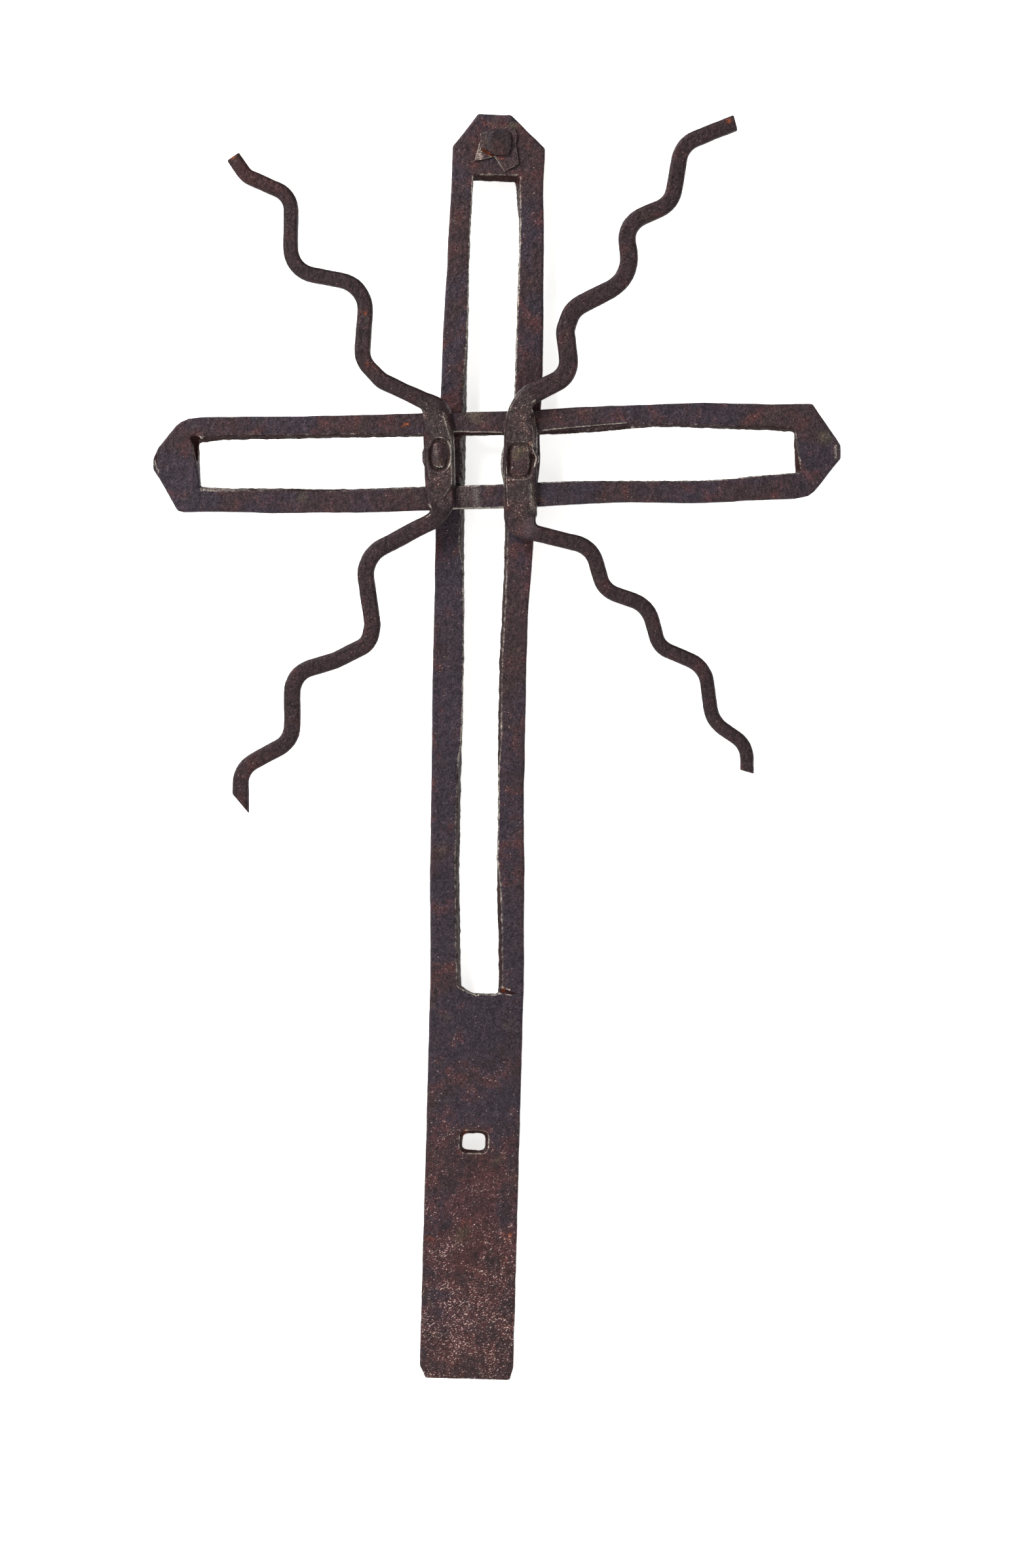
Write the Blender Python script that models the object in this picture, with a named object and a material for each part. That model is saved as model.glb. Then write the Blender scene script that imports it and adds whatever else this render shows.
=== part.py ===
"""A hand-forged wrought iron cross with four waved rays, made to be fixed by its shank.

Metres, +Z up. The front faces -Y. The origin is on the shank's back face, which lies against
the post or wall that carries the cross.
"""

import math
from collections import namedtuple

import bmesh
import bpy
from mathutils import Matrix, Vector

MM = 0.001

# Air between pieces that touch in the real cross, and round a rivet in its hole
TOUCH_GAP = 0.3 * MM
RIVET_CLEARANCE = 0.5 * MM

# Upright: one flat bar
UPRIGHT_WIDTH = 45.2 * MM
SHANK_THICKNESS = 5.0 * MM
RAIL_RELIEF = 0.25 * MM
FOOT_DEPTH = 92.4 * MM
FOOT_CLIP_HEIGHT = 6.0 * MM
FOOT_CLIP_LEFT = 3.0 * MM
FOOT_CLIP_RIGHT = 1.5 * MM
SLOT_FOOT_HEIGHT = 93.6 * MM
UPRIGHT_SLOT_LENGTH = 391.0 * MM
UPRIGHT_SLOT_WIDTH = 20.0 * MM
SLOT_TOP_SLANT = 3.2 * MM
SLOT_CORNER_WIDTH = 5.0 * MM
SLOT_CORNER_RISE = 3.0 * MM
HEAD_HEIGHT = 32.6 * MM
HEAD_CLIP_HEIGHT = 15.8 * MM
HEAD_TOP_WIDTH = 15.8 * MM
HEAD_TOP_SHIFT = -2.8 * MM
HEAD_NARROWING = 0.6 * MM

# Squarish hole punched through the shank from the front
FIXING_HOLE_HEIGHT = 21.9 * MM
FIXING_HOLE_SIDE = 0.6 * MM
FIXING_HOLE_WIDTH = 11.0 * MM
FIXING_HOLE_TALL = 7.9 * MM
FIXING_HOLE_FLARE = 1.5 * MM
FIXING_HOLE_THROAT = 3.0 * MM
FIXING_HOLE_SQUARENESS = 4.5

# Crossbar: flat bar with pointed ends, laid over the upright
CROSSING_HEIGHT = 351.3 * MM
CROSSBAR_TILT = math.radians(2.8)
CROSSBAR_WIDTH = 45.6 * MM
CROSSBAR_THICKNESS = 4.8 * MM
CROSSBAR_LEFT_REACH = 162.7 * MM
CROSSBAR_RIGHT_REACH = 168.4 * MM
CROSSBAR_END_LEFT = 22.8 * MM
CROSSBAR_END_RIGHT = 22.6 * MM
CROSSBAR_SLOT_WIDTH = 23.0 * MM
LEFT_POINT_LENGTH = 17.4 * MM
RIGHT_POINT_LENGTH = 13.2 * MM
LEFT_SLOT_END_SLANT = 3.6 * MM
RIGHT_SLOT_END_SLANT = 3.2 * MM

# Oval rivets that clamp the rays and the crossbar, placed from the middle of the crossing
LEFT_RIVET_SIDE = -24.7 * MM
LEFT_RIVET_RISE = 0.5 * MM
LEFT_RIVET_WIDTH = 7.3 * MM
LEFT_RIVET_TALL = 12.7 * MM
LEFT_RIVET_SQUARENESS = 2.3
RIGHT_RIVET_SIDE = 14.0 * MM
RIGHT_RIVET_RISE = -1.2 * MM
RIGHT_RIVET_WIDTH = 9.1 * MM
RIGHT_RIVET_TALL = 13.8 * MM
RIGHT_RIVET_SQUARENESS = 4.0
RIVET_PROUD = 0.7 * MM
RIVET_EDGE_PROUD = 0.28 * MM
RIVET_DOME_ROUND = 0.6 * MM
EYE_WALL = 4.6 * MM
EYE_LENGTH = 19.0 * MM

# Rays: square stock, flattened in the middle under the rivet
FLAT_THICKNESS = 4.8 * MM
LEFT_FLAT_WALL = 3.2 * MM
LEFT_FLAT_UP = 19.0 * MM
LEFT_FLAT_DOWN = 20.0 * MM
RIGHT_FLAT_WALL = 3.0 * MM
RIGHT_FLAT_UP = 18.0 * MM
RIGHT_FLAT_DOWN = 28.0 * MM
FLAT_TO_ARM = 11.0 * MM
ARM_DEPTH = 7.6 * MM
ARM_CHAMFER = 1.1 * MM
FLAT_CHAMFER = 0.9 * MM
UPPER_LEFT_ROOT = 7.9 * MM
UPPER_LEFT_TIP = 7.0 * MM
LOWER_LEFT_ROOT = 8.2 * MM
LOWER_LEFT_TIP = 8.0 * MM
UPPER_RIGHT_ROOT = 9.9 * MM
UPPER_RIGHT_TIP = 7.5 * MM
LOWER_RIGHT_ROOT = 7.9 * MM
LOWER_RIGHT_TIP = 6.6 * MM
LOWER_LEFT_CUT = 4.6 * MM
UPPER_RIGHT_CUT = 0.4 * MM
LOWER_RIGHT_CUT = 1.0 * MM

# Head rivet over its torn scrap of sheet, placed from the head's top edge
HEAD_RIVET_DROP = 13.8 * MM
HEAD_RIVET_WIDTH = 11.7 * MM
HEAD_RIVET_TALL = 12.6 * MM
HEAD_RIVET_RISE = 2.0 * MM
HEAD_RIVET_EDGE = 0.9 * MM
HEAD_RIVET_DOME_ROUND = 1.2 * MM
HEAD_RIVET_SQUARENESS = 3.4
HEAD_RIVET_SHANK = 5.6 * MM
HEAD_SHANK_SQUARENESS = 4.0
SHEET_THICKNESS = 0.9 * MM

# Hammer-softened arris along the flat bars
ARRIS = 0.5 * MM
ARRIS_ANGLE = math.radians(40)

# Finishes: name, colour, roughness, metallic
SCALED_IRON = ("forge_scaled_iron", (0.045, 0.031, 0.034), 0.55, 0.75)
RUSTED_IRON = ("rust_brown_iron", (0.060, 0.030, 0.026), 0.62, 0.60)
WORN_IRON = ("worn_iron", (0.085, 0.070, 0.064), 0.45, 0.85)

# Drift of the hammered edges from straight: share of the slot's length, outward drift in mm
UPRIGHT_LEFT_EDGE = ((0, -0.1), (0.17, 1.6), (0.42, 2.8), (0.6, 3.3), (0.8, 2.3), (0.92, 1.0), (1, 0.2))
UPRIGHT_RIGHT_EDGE = (
    (0, 0.1), (0.12, -0.8), (0.25, -2.4), (0.45, -2.8), (0.57, -1.0), (0.78, 1.2), (0.9, 0.3), (1, -0.8)
)
UPRIGHT_SLOT_LEFT = ((0, -3.0), (0.06, -1.8), (0.17, -0.4), (0.4, 0.2), (0.57, 1.6), (0.92, 2.8), (1, 2.0))
UPRIGHT_SLOT_RIGHT = (
    (0, 0.0), (0.17, -2.2), (0.4, -3.8), (0.52, -2.8), (0.62, -2.8), (0.75, 0.1), (0.94, 0.5), (1, -2.2)
)
CROSSBAR_TOP_EDGE = ((0, 0.0), (0.2, -0.7), (0.5, -0.4), (0.7, 1.1), (0.84, 1.6), (1, 0.0))
CROSSBAR_BOTTOM_EDGE = ((0, 0.0), (0.14, 1.5), (0.28, 2.1), (0.5, 1.5), (0.7, 0.0), (0.84, 1.1), (1, 0.0))
CROSSBAR_SLOT_TOP = ((0, -1.5), (0.04, -0.4), (0.63, -0.8), (0.77, 1.5), (0.95, -1.1), (1, -2.6))
CROSSBAR_SLOT_BOTTOM = ((0, -1.2), (0.04, -0.2), (0.28, 1.6), (0.5, 1.2), (0.63, 0.3), (0.85, 1.3), (1, -1.3))

# Pointed ends of the crossbar: share of the point's length, then the lower and the upper edge as
# shares of half the bar's width
LEFT_POINT = ((0, -0.08, 0.12), (0.16, -0.28, 0.38), (0.65, -0.97, 0.82), (0.8, -1, 0.9), (1, -1, 0.97))
RIGHT_POINT = ((1.23, -0.95, 1), (1, -0.86, 1), (0, -0.16, 0.11))

# Slant of the chisel-cut slot walls in mm: above zero the cut is wider at the front
UPRIGHT_LEFT_SLANT = (
    (0, 2.0), (0.27, 2.2), (0.33, -0.6), (0.5, -0.6), (0.56, 2.4), (0.7, 2.6), (0.86, -0.5), (1, -0.5)
)
UPRIGHT_RIGHT_SLANT = (
    (0, 2.0), (0.12, 2.0), (0.18, -0.6), (0.27, -0.6), (0.31, 1.4),
    (0.6, 1.4), (0.66, -0.6), (0.92, -0.6), (1, 2.2),
)
CROSSBAR_TOP_SLANT = ((0, 2.4), (0.3, 1.6), (0.4, 0.8), (0.7, -0.4), (0.78, 1.2), (1, 2.0))
CROSSBAR_BOTTOM_SLANT = ((0, 1.6), (0.2, 1.4), (0.3, 0.2), (1, -0.6))

# Bends of the rays from tip to tip, from the rivet's centre: sideways mm, up mm, radius mm
LEFT_RAY_BENDS = (
    (-103.0, 140.5, 0), (-96.5, 131.5, 9), (-74.6, 122.5, 11), (-74.1, 86.5, 13), (-37.1, 80.5, 14),
    (-38.6, 44.5, 12), (-29.0, 35.0, 9), (-1.5, 23.0, 12), (1.5, -29.5, 10), (-35.5, -50.0, 15),
    (-30.0, -82.5, 9), (-31.5, -91.5, 9), (-47.5, -100.0, 9), (-68.0, -107.0, 12), (-67.0, -139.0, 12),
    (-91.5, -153.0, 12), (-91.0, -170.0, 0),
)
RIGHT_RAY_BENDS = (
    (99.0, 165.0, 0), (73.5, 154.0, 13), (69.5, 125.5, 12), (47.0, 115.0, 12), (51.5, 89.0, 17),
    (23.0, 73.5, 12), (20.0, 63.0, 9), (23.0, 42.0, 11), (-0.5, 29.5, 10), (1.0, -33.0, 10),
    (35.5, -40.5, 13), (42.0, -61.0, 11), (63.5, -68.0, 14), (69.0, -87.5, 10), (91.5, -96.5, 13),
    (95.5, -122.5, 15), (112.5, -133.5, 13), (113.0, -146.5, 0),
)

# Torn outline of the sheet scrap from the head rivet's centre, in mm
SCRAP_OUTLINE = (
    (-9.5, 6.0), (-5.7, 6.8), (7.2, 7.1), (8.6, 4.1), (8.0, 0.0), (9.4, -7.7), (9.4, -9.9),
    (2.7, -14.0), (-0.2, -10.2), (-2.4, -6.8), (-5.7, -7.8), (-12.6, -9.3), (-10.8, -5.1), (-9.4, 1.6),
)

# How finely the solids are faceted
BAR_STEP = 11.0 * MM
SHANK_STEP = 33.0 * MM
EYE_STEP = 4.5 * MM
RAY_STEP = 11.0 * MM
SHORTEST_STEP = 0.2 * MM
BEND_STEP = math.radians(9.5)
OVAL_SIDES = 20
SMOOTH_ANGLE = math.radians(35)

# Share of a flat bar's width between the middle edges of a row where it has no slot
PLAIN_MIDDLE = 0.36

# Largest share of a ray's straight run that one bend may take
BEND_SHARE = 0.49

# How far a cutter reaches past the faces that it cuts
CUTTER_REACH = 2.0 * MM

# Worked out from the sizes above
SLOT_TOP_HEIGHT = SLOT_FOOT_HEIGHT + UPRIGHT_SLOT_LENGTH
HEAD_TOP = SLOT_TOP_HEIGHT + HEAD_HEIGHT
FRONT_OF_UPRIGHT = -SHANK_THICKNESS
BACK_OF_CROSSBAR = FRONT_OF_UPRIGHT - TOUCH_GAP
FRONT_OF_CROSSBAR = BACK_OF_CROSSBAR - CROSSBAR_THICKNESS
BACK_OF_RAYS = FRONT_OF_CROSSBAR - TOUCH_GAP
FRONT_OF_FLATS = BACK_OF_RAYS - FLAT_THICKNESS
BACK_OF_SHEET = FRONT_OF_UPRIGHT - TOUCH_GAP
FRONT_OF_SHEET = BACK_OF_SHEET - SHEET_THICKNESS
HEAD_RIVET_HEIGHT = HEAD_TOP - HEAD_RIVET_DROP

# A rivet: its centre, its size, and how square its oval is (2 is an ellipse)
Rivet = namedtuple("Rivet", "x z width tall squareness")
LEFT_RIVET = Rivet(
    LEFT_RIVET_SIDE, CROSSING_HEIGHT + LEFT_RIVET_RISE,
    LEFT_RIVET_WIDTH, LEFT_RIVET_TALL, LEFT_RIVET_SQUARENESS,
)
RIGHT_RIVET = Rivet(
    RIGHT_RIVET_SIDE, CROSSING_HEIGHT + RIGHT_RIVET_RISE,
    RIGHT_RIVET_WIDTH, RIGHT_RIVET_TALL, RIGHT_RIVET_SQUARENESS,
)
HEAD_RIVET_STEM = Rivet(0, HEAD_RIVET_HEIGHT, HEAD_RIVET_SHANK, HEAD_RIVET_SHANK, HEAD_SHANK_SQUARENESS)

# An arm of a ray: how far the flat reaches towards it from the rivet, its width where it leaves
# the flat and at its tip, and the slant of the chisel cut across its tip
Arm = namedtuple("Arm", "flat root tip cut")

# One cross-section of a flat bar: sideways places of its four edges at the front and at the
# back, its place along the bar there, the depth of its back, and whether the slot is open above it
Row = namedtuple("Row", "front back front_along back_along back_y slot")


def clear_scene():
    """Remove whatever the scene holds."""
    for thing in list(bpy.data.objects):
        bpy.data.objects.remove(thing, do_unlink=True)


def iron(name, colour, roughness, metallic):
    """Make a plain iron finish."""
    finish = bpy.data.materials.new(name)
    finish.use_nodes = True
    shader = finish.node_tree.nodes["Principled BSDF"]
    shader.inputs["Base Color"].default_value = (*colour, 1.0)
    shader.inputs["Roughness"].default_value = roughness
    shader.inputs["Metallic"].default_value = metallic
    return finish


def drift(stations, share):
    """Read a hammered edge's drift, in metres, at a share of its length."""
    share = min(max(share, stations[0][0]), stations[-1][0])
    for (low, before), (high, after) in zip(stations, stations[1:]):
        if share <= high:
            blend = (share - low) / (high - low)
            blend = blend * blend * (3 - 2 * blend)
            return (before + (after - before) * blend) * MM
    return stations[-1][1] * MM


def steps_between(low, high, step):
    """Spread places evenly from low to high, both ends exact."""
    count = max(1, math.ceil((high - low) / step))
    return [low + (high - low) * index / count for index in range(count)] + [high]


def finish_solid(name, mesh, material, smooth=False):
    """Turn a bmesh into a named object with one finish and its faces outward."""
    bmesh.ops.recalc_face_normals(mesh, faces=mesh.faces)
    data = bpy.data.meshes.new(name)
    mesh.to_mesh(data)
    mesh.free()
    data.materials.append(material)
    if smooth:
        data.shade_smooth()
        data.set_sharp_from_angle(angle=SMOOTH_ANGLE)
    solid = bpy.data.objects.new(name, data)
    bpy.context.collection.objects.link(solid)
    return solid


def lofted(name, loops, material, smooth=False):
    """Join loops of equal length into a closed solid with flat ends."""
    mesh = bmesh.new()
    rings = [[mesh.verts.new(point) for point in loop] for loop in loops]
    for ring, following in zip(rings, rings[1:]):
        for index in range(len(ring)):
            after = (index + 1) % len(ring)
            mesh.faces.new((ring[index], ring[after], following[after], following[index]))
    mesh.faces.new(rings[0])
    mesh.faces.new(rings[-1])
    return finish_solid(name, mesh, material, smooth)


def flat_bar(name, rows, front_y, material):
    """Build a flat bar from its rows; the middle of three cells is left out along a slot."""
    mesh = bmesh.new()
    fronts = []
    backs = []
    for row in rows:
        fronts.append([mesh.verts.new((s, front_y, t)) for s, t in zip(row.front, row.front_along)])
        backs.append([mesh.verts.new((s, row.back_y, t)) for s, t in zip(row.back, row.back_along)])

    def wall(row_a, column_a, row_b, column_b):
        mesh.faces.new((
            fronts[row_a][column_a], fronts[row_b][column_b], backs[row_b][column_b], backs[row_a][column_a]
        ))

    last = len(rows) - 1
    for row in range(last):
        for column in range(3):
            if column == 1 and rows[row].slot:
                continue
            for face in (fronts, backs):
                mesh.faces.new((
                    face[row][column], face[row][column + 1], face[row + 1][column + 1], face[row + 1][column]
                ))
        for column in (0, 1, 2, 3) if rows[row].slot else (0, 3):
            wall(row, column, row + 1, column)
        if row and rows[row].slot != rows[row - 1].slot:
            wall(row, 1, row, 2)
    for row in (0, last):
        for column in range(3):
            wall(row, column, row, column + 1)
    bar = finish_solid(name, mesh, material)
    soften = bar.modifiers.new("Arris", "BEVEL")
    soften.width = ARRIS
    soften.segments = 1
    soften.limit_method = "ANGLE"
    soften.angle_limit = ARRIS_ANGLE
    return bar


def plain_row(along, low, high, back_y):
    """Make a row of the bar where it has no slot."""
    middle = (low + high) / 2
    half = (high - low) * PLAIN_MIDDLE / 2
    edges = (low, middle - half, middle + half, high)
    places = (along,) * 4
    return Row(edges, edges, places, places, back_y, False)


def slot_row(along, low, slot_low, slot_high, high, slants, back_y, is_open, end_slants=(0, 0)):
    """Make a row along the slot, whose walls slant by the chisel's lean."""
    lean_low, lean_high = slants
    front = (low, slot_low - max(lean_low, 0), slot_high + max(lean_high, 0), high)
    back = (low, slot_low - max(-lean_low, 0), slot_high + max(-lean_high, 0), high)
    front_along = (along, along + end_slants[0], along + end_slants[1], along)
    return Row(front, back, front_along, (along,) * 4, back_y, is_open)


def oval(width, tall, squareness, y, centre):
    """Points of a superellipse in the plane at depth y."""
    points = []
    for index in range(OVAL_SIDES):
        turn = 2 * math.pi * index / OVAL_SIDES
        across = math.copysign(abs(math.cos(turn)) ** (2 / squareness), math.cos(turn))
        up = math.copysign(abs(math.sin(turn)) ** (2 / squareness), math.sin(turn))
        points.append((centre[0] + across * width / 2, y, centre[1] + up * tall / 2))
    return points


def cut_hole(solid, name, loops, material):
    """Cut a lofted hole through a solid."""
    cutter = lofted(name, loops, material)
    cutter.hide_render = True
    cutter.display_type = "WIRE"
    hole = solid.modifiers.new(name, "BOOLEAN")
    hole.operation = "DIFFERENCE"
    hole.solver = "EXACT"
    hole.object = cutter


def cut_rivet_hole(solid, name, rivet, back_y, front_y, material):
    """Cut the clearance hole of a rivet from behind back_y to before front_y."""
    size = (rivet.width + 2 * RIVET_CLEARANCE, rivet.tall + 2 * RIVET_CLEARANCE, rivet.squareness)
    centre = (rivet.x, rivet.z)
    loops = [oval(*size, back_y + CUTTER_REACH, centre), oval(*size, front_y - CUTTER_REACH, centre)]
    cut_hole(solid, name, loops, material)


def swell_round(edge, height, rivet):
    """Push a rail's edge outwards where the rail swells into the eye of a rivet."""
    nearness = 1 - abs(height - rivet.z) / EYE_LENGTH
    if nearness <= 0:
        return edge
    side = math.copysign(1, edge - rivet.x)
    reach = rivet.width / 2 + RIVET_CLEARANCE + EYE_WALL
    missing = reach - abs(edge - rivet.x)
    return edge + side * max(missing, 0) * math.sin(nearness * math.pi / 2) ** 2


def upright_slot_heights():
    """Heights of the rows along the upright's slot, closer together at the rivets' eyes."""
    eyes_low = min(LEFT_RIVET.z, RIGHT_RIVET.z) - EYE_LENGTH
    eyes_high = max(LEFT_RIVET.z, RIGHT_RIVET.z) + EYE_LENGTH
    below = steps_between(SLOT_FOOT_HEIGHT, eyes_low, BAR_STEP)
    eyes = steps_between(eyes_low, eyes_high, EYE_STEP)
    above = steps_between(eyes_high, SLOT_TOP_HEIGHT, BAR_STEP)
    corner = SLOT_FOOT_HEIGHT + SLOT_CORNER_RISE
    return sorted(set([corner] + below + eyes[1:-1] + above))


def upright(material):
    """Flat bar with a clipped head, a long slot and a plain shank."""
    half = UPRIGHT_WIDTH / 2
    slot_half = UPRIGHT_SLOT_WIDTH / 2
    foot = -FOOT_DEPTH
    shank_low = foot + FOOT_CLIP_HEIGHT
    rows = [plain_row(foot, FOOT_CLIP_LEFT - half, half - FOOT_CLIP_RIGHT, 0)]
    for height in steps_between(shank_low, SLOT_FOOT_HEIGHT - BAR_STEP, SHANK_STEP):
        rows.append(plain_row(height, -half, half, 0))
    for height in upright_slot_heights():
        share = (height - SLOT_FOOT_HEIGHT) / UPRIGHT_SLOT_LENGTH
        low = swell_round(-half - drift(UPRIGHT_LEFT_EDGE, share), height, LEFT_RIVET)
        slot_low = swell_round(-slot_half - drift(UPRIGHT_SLOT_LEFT, share), height, LEFT_RIVET)
        slot_high = swell_round(slot_half + drift(UPRIGHT_SLOT_RIGHT, share), height, RIGHT_RIVET)
        high = swell_round(half + drift(UPRIGHT_RIGHT_EDGE, share), height, RIGHT_RIVET)
        slants = (drift(UPRIGHT_LEFT_SLANT, share), drift(UPRIGHT_RIGHT_SLANT, share))
        at_foot = height == SLOT_FOOT_HEIGHT
        at_top = height == SLOT_TOP_HEIGHT
        if at_foot:
            slot_low += SLOT_CORNER_WIDTH
            slants = (0, 0)
        lift = (SLOT_TOP_SLANT, SLOT_TOP_SLANT) if at_top else (0, 0)
        rows.append(slot_row(height, low, slot_low, slot_high, high, slants, -RAIL_RELIEF, not at_top, lift))
    head_half = half - HEAD_NARROWING
    rows.append(plain_row(HEAD_TOP - HEAD_CLIP_HEIGHT, -half, head_half, -RAIL_RELIEF))
    top_low = HEAD_TOP_SHIFT - HEAD_TOP_WIDTH / 2
    rows.append(plain_row(HEAD_TOP, top_low, top_low + HEAD_TOP_WIDTH, -RAIL_RELIEF))
    bar = flat_bar("upright", rows, FRONT_OF_UPRIGHT, material)

    centre = (FIXING_HOLE_SIDE, FIXING_HOLE_HEIGHT)
    wide = FIXING_HOLE_WIDTH + 2 * FIXING_HOLE_FLARE
    tall = FIXING_HOLE_TALL + 2 * FIXING_HOLE_FLARE
    squareness = FIXING_HOLE_SQUARENESS
    loops = [
        oval(FIXING_HOLE_WIDTH, FIXING_HOLE_TALL, squareness, CUTTER_REACH, centre),
        oval(FIXING_HOLE_WIDTH, FIXING_HOLE_TALL, squareness, -FIXING_HOLE_THROAT, centre),
        oval(wide, tall, squareness, FRONT_OF_UPRIGHT, centre),
        oval(wide, tall, squareness, FRONT_OF_UPRIGHT - CUTTER_REACH, centre),
    ]
    cut_hole(bar, "fixing_hole_cutter", loops, material)
    cut_rivet_hole(bar, "left_eye_cutter", LEFT_RIVET, 0, FRONT_OF_UPRIGHT, material)
    cut_rivet_hole(bar, "right_eye_cutter", RIGHT_RIVET, 0, FRONT_OF_UPRIGHT, material)
    cut_rivet_hole(bar, "head_hole_cutter", HEAD_RIVET_STEM, 0, FRONT_OF_UPRIGHT, material)
    return bar


def crossbar(material):
    """Flat bar with pointed ends and a long slot, laid over the upright and slightly tilted."""
    half = CROSSBAR_WIDTH / 2
    slot_half = CROSSBAR_SLOT_WIDTH / 2
    slot_left = CROSSBAR_END_LEFT - CROSSBAR_LEFT_REACH
    slot_right = CROSSBAR_RIGHT_REACH - CROSSBAR_END_RIGHT
    back_y = BACK_OF_CROSSBAR
    rows = []
    for share, low, high in LEFT_POINT:
        along = share * LEFT_POINT_LENGTH - CROSSBAR_LEFT_REACH
        rows.append(plain_row(along, low * half, high * half, back_y))
    for along in steps_between(slot_left, slot_right, BAR_STEP):
        share = (along - slot_left) / (slot_right - slot_left)
        low = -half - drift(CROSSBAR_BOTTOM_EDGE, share)
        slot_low = -slot_half - drift(CROSSBAR_SLOT_BOTTOM, share)
        slot_high = slot_half + drift(CROSSBAR_SLOT_TOP, share)
        high = half + drift(CROSSBAR_TOP_EDGE, share)
        slants = (drift(CROSSBAR_BOTTOM_SLANT, share), drift(CROSSBAR_TOP_SLANT, share))
        is_open = along != slot_right
        end_slants = (0, 0)
        if along == slot_left:
            end_slants = (0, -LEFT_SLOT_END_SLANT)
        if not is_open:
            end_slants = (RIGHT_SLOT_END_SLANT, 0)
        rows.append(slot_row(along, low, slot_low, slot_high, high, slants, back_y, is_open, end_slants))
    for share, low, high in RIGHT_POINT:
        along = CROSSBAR_RIGHT_REACH - share * RIGHT_POINT_LENGTH
        rows.append(plain_row(along, low * half, high * half, back_y))
    bar = flat_bar("crossbar", rows, FRONT_OF_CROSSBAR, material)
    # The rows run up the bar's own +Z, which is laid over to the right by swapping X and Z
    bar.data.transform(((0, 0, 1, 0), (0, 1, 0, 0), (1, 0, 0, 0), (0, 0, 0, 1)))
    bar.data.flip_normals()
    bar.location = (0, 0, CROSSING_HEIGHT)
    bar.rotation_euler = (0, -CROSSBAR_TILT, 0)
    return bar


def bent_path(bends):
    """Follow straight runs and round bends: points, directions and lengths from the first point."""
    corners = [Vector((x * MM, z * MM)) for x, z, _ in bends]
    stations = []

    def run_to(start, end):
        heading = (end - start).normalized()
        pieces = max(1, math.ceil((end - start).length / RAY_STEP))
        for piece in range(pieces + 1):
            stations.append((start.lerp(end, piece / pieces), heading))

    start = corners[0]
    for index in range(1, len(corners) - 1):
        corner = corners[index]
        arriving = (corner - corners[index - 1]).normalized()
        leaving = (corners[index + 1] - corner).normalized()
        turn = arriving.angle_signed(leaving)
        shorter = min((corner - corners[index - 1]).length, (corners[index + 1] - corner).length)
        setback = min(bends[index][2] * MM * math.tan(abs(turn) / 2), BEND_SHARE * shorter)
        radius = setback / math.tan(abs(turn) / 2)
        enter = corner - arriving * setback
        run_to(start, enter)
        inward = Vector((arriving.y, -arriving.x)) * math.copysign(radius, turn)
        centre = enter + inward
        pieces = max(2, math.ceil(abs(turn) / BEND_STEP))
        for piece in range(1, pieces):
            swing = -turn * piece / pieces
            swung = Matrix.Rotation(swing, 2)
            stations.append((centre - swung @ inward, swung @ arriving))
        start = corner + leaving * setback
    run_to(start, corners[-1])

    lengths = [0.0]
    kept = [stations[0]]
    for station in stations[1:]:
        gap = (station[0] - kept[-1][0]).length
        if gap > SHORTEST_STEP:
            kept.append(station)
            lengths.append(lengths[-1] + gap)
    return kept, lengths


def ease(value):
    """Go smoothly from 0 to 1."""
    value = min(max(value, 0), 1)
    return value * value * (3 - 2 * value)


def ray(name, rivet, bends, flat_wall, upper, lower, material):
    """One waved bar, flattened where the rivet passes, between its upper and lower arm."""
    stations, lengths = bent_path(bends)
    at_rivet = min(range(len(stations)), key=lambda index: stations[index][0].length)
    rivet_length = lengths[at_rivet] + stations[at_rivet][0].y
    flat_width = rivet.width + 2 * (RIVET_CLEARANCE + flat_wall)
    loops = []
    for (place, heading), length in zip(stations, lengths):
        along = length - rivet_length
        arm = lower if along > 0 else upper
        arm_length = lengths[-1] - rivet_length if along > 0 else rivet_length
        past_flat = max(abs(along) - arm.flat, 0)
        slimming = ease(past_flat / FLAT_TO_ARM)
        arm_width = arm.root + (arm.tip - arm.root) * past_flat / (arm_length - arm.flat)
        width = flat_width + (arm_width - flat_width) * slimming
        depth = FLAT_THICKNESS + (ARM_DEPTH - FLAT_THICKNESS) * slimming
        chamfer = FLAT_CHAMFER + (ARM_CHAMFER - FLAT_CHAMFER) * slimming
        side = Vector((-heading.y, heading.x))
        cut = arm.cut if length in (lengths[0], lengths[-1]) else 0
        loop = []
        for across, back in section(width / 2, depth, chamfer):
            spot = place + side * across + heading * (cut * across / (width / 2))
            loop.append((rivet.x + spot.x, BACK_OF_RAYS - back, rivet.z + spot.y))
        loops.append(loop)
    bar = lofted(name, loops, material)
    cut_rivet_hole(bar, name + "_hole_cutter", rivet, BACK_OF_RAYS, FRONT_OF_FLATS, material)
    return bar


def section(half, depth, chamfer):
    """Eight corners of a chamfered bar: sideways place and distance in front of its back."""
    return (
        (-half, chamfer), (-half, depth - chamfer), (chamfer - half, depth), (half - chamfer, depth),
        (half, depth - chamfer), (half, chamfer), (half - chamfer, 0), (chamfer - half, 0),
    )


def clamping_rivet(name, rivet, material):
    """Oval rivet from the back of the rails to just proud of the ray's flat."""
    centre = (rivet.x, rivet.z)
    size = (rivet.width, rivet.tall)
    crown = (rivet.width - 2 * RIVET_DOME_ROUND, rivet.tall - 2 * RIVET_DOME_ROUND)
    loops = [
        oval(*size, rivet.squareness, -RAIL_RELIEF, centre),
        oval(*size, rivet.squareness, FRONT_OF_FLATS - RIVET_EDGE_PROUD, centre),
        oval(*crown, rivet.squareness, FRONT_OF_FLATS - RIVET_PROUD, centre),
    ]
    return lofted(name, loops, material, smooth=True)


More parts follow.
